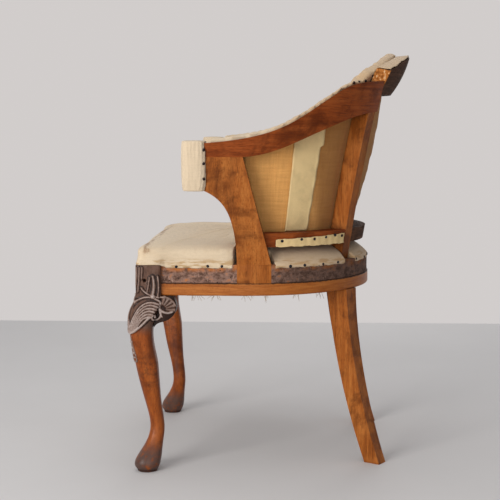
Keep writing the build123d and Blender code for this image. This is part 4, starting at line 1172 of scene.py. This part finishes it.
class CHAIR_OT_arm_bolsters(ChairOperator):
    """Make the two calico bolsters on the arm ends, gathered and pulled to their tacks"""

    bl_idname = "chair.arm_bolsters"
    bl_label = "Arm bolsters"

    def make(self, sizes, tones):
        cloth = calico("bolster_calico", tones.calico[:])
        for side, sign in SIDES:
            node = f"arm_pad_{side}"
            mesh = solid_copy(node, 0.0022)
            puff(mesh, 2.0, 0.002, 10)
            spots, normals = spots_of(mesh), normals_of(mesh)
            low, high = (np.array(corner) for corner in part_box(node))
            middle = (low + high) / 2.0
            round_it = np.arctan2(spots[:, 1] - middle[1], (spots[:, 0] - middle[0]) * sign)
            upright = ease(np.abs(normals[:, 2]), 0.8, 0.3)
            gathers = np.sin(round_it * 26.0 + ripple(4, round_it * 7.0, spots[:, 2] * 40.0) * 1.6)
            ends = 0.35 + 0.65 * np.abs((spots[:, 2] - middle[2]) / (high[2] - middle[2]))
            put_spots(mesh, spots + normals * (gathers * upright * ends * 0.0007)[:, None])
            bolster = link_piece(f"arm_bolster_{side}", mesh, cloth, "calico", node)


class CHAIR_OT_side_straps(ChairOperator):
    """Hang the cream straps in the sides and fold the cream strips over the stuffing rails"""

    bl_idname = "chair.side_straps"
    bl_label = "Side straps and rail strips"

    def make(self, sizes, tones):
        cream = np.array(tones.webbing)
        cloth = webbing("cream_webbing", tuple(cream), tuple(cream * 0.78))
        for side, sign in SIDES:
            self.strap(side, sign, cloth, sizes)
            self.strip(side, sign, cloth)

    def strap(self, side, sign, cloth, sizes):
        node = f"side_web_{side}"
        low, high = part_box(node)
        cloth_wall = BVHTree.FromObject(bpy.data.objects["tub_hessian"], bpy.context.evaluated_depsgraph_get())
        middle = math.atan2((low[1] + high[1]) / 2.0 - AXIS_Y, abs(low[0] + high[0]) / 2.0)
        rise = np.linspace(0.0, 1.0, 60)
        across = np.linspace(-0.5, 0.5, 17)
        tops = tack_line(middle + across * sizes.web_width / STRAP_RADIUS, *wall_radius()) - 0.006
        spots, cut = [], []
        for u in rise:
            fray = ripple(9, u * 40.0) * 0.0009
            width = sizes.web_width * (0.97 + 0.05 * u) + fray
            tab = 0.005 * ease(u, 0.80, 0.815) * ease(u, 0.985, 0.965)
            row = []
            for v, top in zip(across, tops):
                z = STRAP_FOOT + (top - STRAP_FOOT) * u
                side_step = width * v + (tab if v > 0.4 else 0.0)
                turn = middle + STRAP_LEAN * (u - 0.5) + side_step / STRAP_RADIUS
                way = Vector((math.cos(turn) * sign, math.sin(turn), 0.0))
                start = Vector((0.0, AXIS_Y, z)) + way * 0.5
                hit = cloth_wall.ray_cast(start, -way)[0]
                gap = 0.0016 + 0.0008 * ease(abs(v), 0.35, 0.5) * (1.0 + math.sin(u * 31.0))
                row.append(hit + way * gap)
                cut.append((side_step, z))
            spots.append(row)
        spots = np.array([[p[:] for p in row] for row in spots])
        cut = np.array(cut).reshape(len(rise), len(across), 2)
        mesh = cloth_shell(grid_mesh(f"side_strap_{side}", spots, cut), 0.0014)
        made = link_piece(f"side_strap_{side}", mesh, cloth, "cream_webbing", node)

    def strip(self, side, sign, cloth):
        node = f"rail_wrap_{side}"
        low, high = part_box(node)
        rail = surface_of(f"stuffing_rail_{side}")
        first, last = STRIP_TURN
        turn = np.linspace(first, last, 70)
        spots, cut = [], []
        for part in np.linspace(0.0, 1.0, 14):
            row = []
            for t in turn:
                u = (t - first) / (last - first)
                top = high[2] - 0.0035 + 0.005 * u + ripple(14, u * 33.0) * 0.0007
                foot = low[2] - 0.0005 - ripple(17, u * 41.0) * 0.0012
                z = top + (foot - top) * part
                way = Vector((math.cos(t) * sign, math.sin(t), 0.0))
                probe = min(max(z, 0.4285), 0.4515)
                hit = rail.ray_cast(Vector((0.0, AXIS_Y, probe)) + way * 0.5, -way)[0]
                lift = 0.0012 + 0.0016 * ease(part, 0.75, 1.0) + 0.0004 * math.sin(u * 60.0)
                row.append((hit.x + way.x * lift, hit.y + way.y * lift, z))
                cut.append((z, t * 0.23))
            spots.append(row)
        spots = np.array(spots)
        cut = np.array(cut).reshape(14, 70, 2)
        mesh = cloth_shell(grid_mesh(f"rail_strip_{side}", spots, cut), 0.0012)
        made = link_piece(f"rail_strip_{side}", mesh, cloth, "cream_webbing", node)


STRAP_RADIUS = 0.21
STRAP_FOOT = 0.4540
STRAP_LEAN = 0.030
STRIP_TURN = (math.radians(14.0), math.radians(53.0))


def scatter_tree():
    """A node tree that sets a turned pattern piece on every point and makes it one mesh."""
    tree = bpy.data.node_groups.new("set_on_points", "GeometryNodeTree")
    face = tree.interface
    for name, way, kind in (
        ("Points", "INPUT", "NodeSocketGeometry"),
        ("Pattern", "INPUT", "NodeSocketObject"),
        ("Least size", "INPUT", "NodeSocketFloat"),
        ("Most size", "INPUT", "NodeSocketFloat"),
        ("Tilt", "INPUT", "NodeSocketFloat"),
        ("Seed", "INPUT", "NodeSocketInt"),
        ("Finish", "INPUT", "NodeSocketMaterial"),
        ("Mesh", "OUTPUT", "NodeSocketGeometry"),
    ):
        face.new_socket(name=name, in_out=way, socket_type=kind)

    def node(kind, links=(), **settings):
        made = tree.nodes.new(kind)
        for key, setting in settings.items():
            setattr(made, key, setting)
        for key, source in dict(links).items():
            if isinstance(source, bpy.types.NodeSocket):
                tree.links.new(source, made.inputs[key])
            else:
                made.inputs[key].default_value = source
        return made

    given = node("NodeGroupInput").outputs
    lie = node("GeometryNodeInputNamedAttribute", {"Name": "lie"}, data_type="FLOAT_VECTOR").outputs["Attribute"]
    stand = node("FunctionNodeAlignRotationToVector", {"Vector": lie}, axis="Z").outputs[0]
    seed = given["Seed"]
    limits = {2: given["Least size"], 3: given["Most size"], "Seed": seed}
    size = node("FunctionNodeRandomValue", limits, data_type="FLOAT")
    pattern = node("GeometryNodeObjectInfo", {"Object": given["Pattern"]}).outputs["Geometry"]
    many = node(
        "GeometryNodeInstanceOnPoints",
        {"Points": given["Points"], "Instance": pattern, "Rotation": stand, "Scale": size.outputs[1]},
    )
    lean = node("ShaderNodeMath", {0: given["Tilt"], 1: -1.0}, operation="MULTIPLY").outputs[0]
    least = node("ShaderNodeCombineXYZ", {0: lean, 1: lean, 2: -math.pi}).outputs[0]
    most = node("ShaderNodeCombineXYZ", {0: given["Tilt"], 1: given["Tilt"], 2: math.pi}).outputs[0]
    spin = node("FunctionNodeRandomValue", {0: least, 1: most, "Seed": seed}, data_type="FLOAT_VECTOR")
    turned = node("GeometryNodeRotateInstances", {"Instances": many.outputs[0], "Rotation": spin.outputs[0]})
    whole = node("GeometryNodeRealizeInstances", {0: turned.outputs[0]})
    dressed = node("GeometryNodeSetMaterial", {0: whole.outputs[0], "Material": given["Finish"]})
    node("NodeGroupOutput", {0: dressed.outputs[0]})
    return tree


def scattered(name, spots, lies, pattern, finish, least, most, tilt, seed):
    """One plain mesh of a pattern piece set on many spots, each facing its own way."""
    mesh = bpy.data.meshes.new(name + "_points")
    mesh.from_pydata([tuple(s) for s in spots], [], [])
    mesh.attributes.new("lie", "FLOAT_VECTOR", "POINT").data.foreach_set("vector", np.array(lies, dtype=float).ravel())
    work, shape = bpy.data.objects.new(name + "_points", mesh), bpy.data.objects.new(name + "_pattern", pattern)
    for each in (work, shape):
        bpy.context.scene.collection.objects.link(each)
    tree = scatter_tree()
    modifier = work.modifiers.new("set_on_points", "NODES")
    modifier.node_group = tree
    values = {"Pattern": shape, "Least size": least, "Most size": most, "Tilt": tilt, "Seed": seed, "Finish": finish}
    for item in tree.interface.items_tree:
        if item.name in values:
            modifier[item.identifier] = values[item.name]
    made = bpy.data.meshes.new_from_object(work.evaluated_get(bpy.context.evaluated_depsgraph_get()))
    work.modifiers.remove(modifier)
    for each in (work, shape):
        bpy.data.objects.remove(each)
    made.name = name
    for stray in [a.name for a in made.attributes if a.name == "lie"]:
        made.attributes.remove(made.attributes[stray])
    return made


def lathe_mesh(name, profile, count):
    """A closed turned shape from (radius, height) pairs that start and end on the axis."""
    angle = np.linspace(0.0, 2.0 * math.pi, count, endpoint=False)
    rings = np.array([[(r * math.cos(a), r * math.sin(a), z) for a in angle] for r, z in profile[1:-1]])
    mesh = grid_mesh(name, rings, ring=True)
    bm = bmesh.new()
    bm.from_mesh(mesh)
    bm.verts.ensure_lookup_table()
    first, last = [bm.verts[i] for i in range(count)], [bm.verts[i - count] for i in range(count)]
    for ring, (_, z) in ((first, profile[0]), (last, profile[-1])):
        tip = bm.verts.new((0.0, 0.0, z))
        for i in range(count):
            bm.faces.new((ring[i], ring[(i + 1) % count], tip))
    bmesh.ops.recalc_face_normals(bm, faces=bm.faces)
    bm.to_mesh(mesh)
    bm.free()
    return mesh


def tree_of(name):
    return BVHTree.FromObject(bpy.data.objects[name], bpy.context.evaluated_depsgraph_get())


class CHAIR_OT_tacks(ChairOperator):
    """Drive the blued tacks along the seat's hem, the strips, the bolsters and the lining's edge"""

    bl_idname = "chair.tacks"
    bl_label = "Tacks"

    def make(self, sizes, tones):
        half = sizes.tack_head / 2.0
        head = lathe_mesh("tack_head", [(half * r, half * z) for r, z in TACK_PROFILE], 10)
        found = [*self.hem(sizes), *self.strips(), *self.bolsters(), *self.lining_edge()]
        spots, lies = [f[0] for f in found], [f[1] for f in found]
        blued = steel("blued_tacks", (0.018, 0.019, 0.026), (0.055, 0.028, 0.016), 0.38)
        mesh = scattered("tacks", spots, lies, head, blued, 0.82, 1.08, 0.18, 7)
        link_piece("tacks", mesh, blued, "steel")

    def cast(self, target, start, way):
        hit, lie, _, _ = target.ray_cast(Vector(start), Vector(way))
        return [(hit, lie if lie.dot(Vector(way)) < 0.0 else -lie)] if hit else []

    def hem(self, sizes):
        chance = np.random.default_rng(4)
        cover = tree_of("seat_cover")
        found = []
        count = int(1.62 / sizes.tack_gap)
        for angle in np.linspace(0.0, 2.0 * math.pi, count, endpoint=False):
            angle += chance.uniform(-0.3, 0.3) * 2.0 * math.pi / count
            way = Vector((math.cos(angle), math.sin(angle), 0.0))
            y = AXIS_Y + SEAT_RADIUS * way.y
            if SUPPORT_FOOT[0] - 0.012 < y < SUPPORT_FOOT[1] + 0.012 and abs(way.x) > 0.7:
                continue
            z = RAIL_TOP - sizes.hem_drop + 0.0035 + chance.uniform(-0.001, 0.0015)
            start = Vector((0.0, AXIS_Y, z)) + way * 0.5
            hit = self.cast(cover, start, -way) or self.cast(cover, start + Vector((0.0, 0.0, 0.0075)), -way)
            found += hit
        return found

    def strips(self):
        found = []
        for side, sign in SIDES:
            strip = tree_of(f"rail_strip_{side}")
            for turn, z in STRIP_TACKS:
                way = Vector((math.cos(turn) * sign, math.sin(turn), 0.0))
                found += self.cast(strip, Vector((0.0, AXIS_Y, z)) + way * 0.5, -way)
        return found

    def bolsters(self):
        found = []
        for side, sign in SIDES:
            bolster = tree_of(f"arm_bolster_{side}")
            _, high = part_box(f"arm_pad_{side}")
            for z in BOLSTER_TACKS:
                found += self.cast(bolster, (sign * 0.5, high[1] - 0.0045, z), (-sign, 0.0, 0.0))
        return found

    def lining_edge(self):
        found = []
        lining = tree_of("back_lining")
        arms = surface_of("arm_rail_left", "arm_rail_right", "crest_rail")
        chance = np.random.default_rng(9)
        for turn in np.linspace(math.radians(34.0), math.radians(146.0), 30):
            turn += chance.uniform(-0.012, 0.012)
            way = Vector((math.cos(turn), math.sin(turn), 0.0))
            top = arms.ray_cast(Vector((0.0, AXIS_Y, 0.9)) + way * 0.272, DOWN)[0]
            if top:
                found += self.cast(lining, Vector((0.0, AXIS_Y, top.z + 0.003)) + way * 0.6, -way)
        return found


TACK_PROFILE = ((0.0, 0.62), (0.45, 0.56), (0.82, 0.34), (1.0, 0.06), (0.9, -0.2), (0.0, -0.3))
STRIP_TACKS = (
    (math.radians(17.0), 0.4385),
    (math.radians(26.5), 0.4405),
    (math.radians(33.5), 0.4400),
    (math.radians(40.0), 0.4420),
    (math.radians(46.0), 0.4445),
    (math.radians(51.0), 0.4420),
)
BOLSTER_TACKS = (0.556, 0.584, 0.609)


def separate_boxes(node):
    """Low and high corners of each separate solid in a frame node."""
    bm = bmesh.new()
    bm.from_mesh(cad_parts[node].data)
    bmesh.ops.remove_doubles(bm, verts=bm.verts, dist=1e-6)
    left, boxes = set(bm.verts), []
    while left:
        group, edge = set(), [next(iter(left))]
        while edge:
            vert = edge.pop()
            if vert not in group:
                group.add(vert)
                edge.extend(e.other_vert(vert) for e in vert.link_edges)
        left -= group
        spots = np.array([v.co[:] for v in group])
        boxes.append((spots.min(axis=0), spots.max(axis=0)))
    bm.free()
    return sorted(boxes, key=lambda box: tuple(box[0][:2].round(4)))


class CHAIR_OT_seat_webbing(ChairOperator):
    """Weave the jute webbing under the seat and lay the hessian over the springs"""

    bl_idname = "chair.seat_webbing"
    bl_label = "Seat webbing and spring hessian"

    def make(self, sizes, tones):
        jute = np.array(tones.jute)
        cloth = webbing("jute_webbing", tuple(jute), tuple(jute * 0.62), tuple(jute * (0.25, 0.18, 0.2)))
        ways = {"webbing_lengthwise": 1, "webbing_crosswise": 0}
        straps = {node: separate_boxes(node) for node in ways}
        mids = {
            node: sorted((low + high)[1 - along] / 2.0 for low, high in straps[node]) for node, along in ways.items()
        }
        for node, along in ways.items():
            other = next(name for name in ways if name != node)
            parts, flat_area, long = [], 0.0, 0.0
            for number, (low, high) in enumerate(straps[node]):
                spots, cut = self.strap(low, high, along, number, mids[other], 1 if along else -1)
                parts.append(cloth_shell(grid_mesh(node, spots, cut), 0.0011))
                reach = float(np.linalg.norm(np.diff(spots[:, 4], axis=0), axis=-1).sum())
                wide = float(high[1 - along] - low[1 - along])
                flat_area, long = flat_area + reach * wide, long + reach
            made = link_piece(node + "_woven", joined(node, parts), cloth, "jute_webbing", node)
        self.spring_cover(tones)
        self.frayed_threads(tones)

    def frayed_threads(self, tones):
        """Tufts of broken thread that hang below the side rails."""
        chance = np.random.default_rng(15)
        spots, lies = [], []
        for y in (-0.147, -0.108, -0.050, -0.015, 0.042, 0.085):
            for sign in (1.0, -1.0):
                for _ in range(7):
                    at = y + chance.normal(0.0, 0.004)
                    out = math.sqrt(SEAT_RADIUS**2 - max(at - AXIS_Y, 0.0) ** 2) - 0.006 - chance.uniform(0.0, 0.004)
                    spots.append((out * sign, at, RAIL_BOTTOM + 0.0004))
                    lies.append((0.5 * sign, chance.uniform(-1.0, 1.0), -1.0))
        strand = lathe_mesh("strand", ((0, 0.0), (0.00028, 0.001), (0.00034, 0.006), (0.00022, 0.0135), (0, 0.0142)), 5)
        jute = np.array(tones.jute)
        cloth = hessian("loose_thread", tuple(jute * 0.8), tuple(jute * 0.4))
        mesh = scattered("loose_threads", spots, lies, strand, cloth, 0.45, 1.1, 0.45, 11)
        link_piece("loose_threads", mesh, cloth, "hessian")

    def strap(self, low, high, along, number, crossings, layer):
        """One strap's points and flat places, weaving over and under the straps that cross it."""
        run = np.linspace(low[along], high[along], 90)
        nearest = np.array([min(abs(run_at - mid) for mid in crossings) for run_at in run])
        index = np.array([int(np.argmin([abs(run_at - mid) for mid in crossings])) for run_at in run])
        over = np.where((index + number) % 2 == 0, 1.0, -1.0) * layer * ease(nearest, 0.040, 0.018)
        across = np.linspace(low[1 - along], high[1 - along], 9)
        ends = ease(np.minimum(run - low[along], high[along] - run), 0.02, 0.06)
        tuck = (1.0 - ends) * (0.00036 if along else 0.0009)
        z = RAIL_BOTTOM - 0.0020 + over * 0.0007 * ends + tuck
        grid = np.zeros((len(run), len(across), 3))
        grid[:, :, along], grid[:, :, 1 - along], grid[:, :, 2] = run[:, None], across[None, :], z[:, None]
        middle = (low[1 - along] + high[1 - along]) / 2.0
        cut = np.stack(np.broadcast_arrays(across[None, :] - middle, run[:, None]), -1)
        return grid, cut

    def spring_cover(self, tones):
        low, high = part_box("spring_hessian")
        count = 360
        angle = np.linspace(0.0, 2.0 * math.pi, count, endpoint=False)
        reach, _ = rail_outline(count)
        reach = smooth_ring(reach, 7) - 0.010
        edge = np.stack([reach * np.cos(angle), AXIS_Y + reach * np.sin(angle)], -1)
        reach = reach - slit_depth(angle, reach, edge) * 1.02
        part = np.linspace(0.02, 1.0, 40)[:, None]
        x, y = part * reach * np.cos(angle), AXIS_Y + part * reach * np.sin(angle)
        z = (low[2] + high[2]) / 2.0 + 0.0002 * ripple(2, x * 60.0, y * 50.0)
        spots = np.stack([x, y, z], -1)
        mesh = cloth_shell(grid_mesh("spring_cover", spots, spots[:, :, :2], ring=True), 0.0008)
        cloth = hessian("spring_hessian_weave", tones.hessian[:], tones.hessian_shade[:])
        made = link_piece("spring_cover", mesh, cloth, "hessian", "spring_hessian")


def joined(name, meshes):
    """Several meshes as one."""
    bm = bmesh.new()
    for mesh in meshes:
        bm.from_mesh(mesh)
    whole = bpy.data.meshes.new(name)
    bm.to_mesh(whole)
    bm.free()
    return whole


STEPS = (
    CHAIR_OT_stage,
    CHAIR_OT_frame_finishes,
    CHAIR_OT_carved_legs,
    CHAIR_OT_seat_cover,
    CHAIR_OT_tub_hessian,
    CHAIR_OT_back_lining,
    CHAIR_OT_arm_bolsters,
    CHAIR_OT_side_straps,
    CHAIR_OT_seat_webbing,
    CHAIR_OT_tacks,
)


class CHAIR_PT_panel(bpy.types.Panel):
    """Lists the steps that dress the chair"""

    bl_label = "Stripped tub armchair"
    bl_idname = "CHAIR_PT_panel"
    bl_space_type = "VIEW_3D"
    bl_region_type = "UI"
    bl_category = "Chair"

    def draw(self, context):
        for step in STEPS:
            self.layout.operator(step.bl_idname)
        for group in (context.scene.chair_sizes, context.scene.chair_tones):
            for key in group.__annotations__:
                self.layout.prop(group, key)


CLASSES = (ChairSizes, ChairTones, *STEPS, CHAIR_PT_panel)


def register():
    for kind in CLASSES:
        bpy.utils.register_class(kind)
    bpy.types.Scene.chair_sizes = bpy.props.PointerProperty(type=ChairSizes)
    bpy.types.Scene.chair_tones = bpy.props.PointerProperty(type=ChairTones)


def unregister():
    del bpy.types.Scene.chair_sizes, bpy.types.Scene.chair_tones
    for kind in reversed(CLASSES):
        bpy.utils.unregister_class(kind)


def main():
    register()
    for step in STEPS:
        group, name = step.bl_idname.split(".")
        getattr(getattr(bpy.ops, group), name)()


if __name__ == "__main__":
    main()
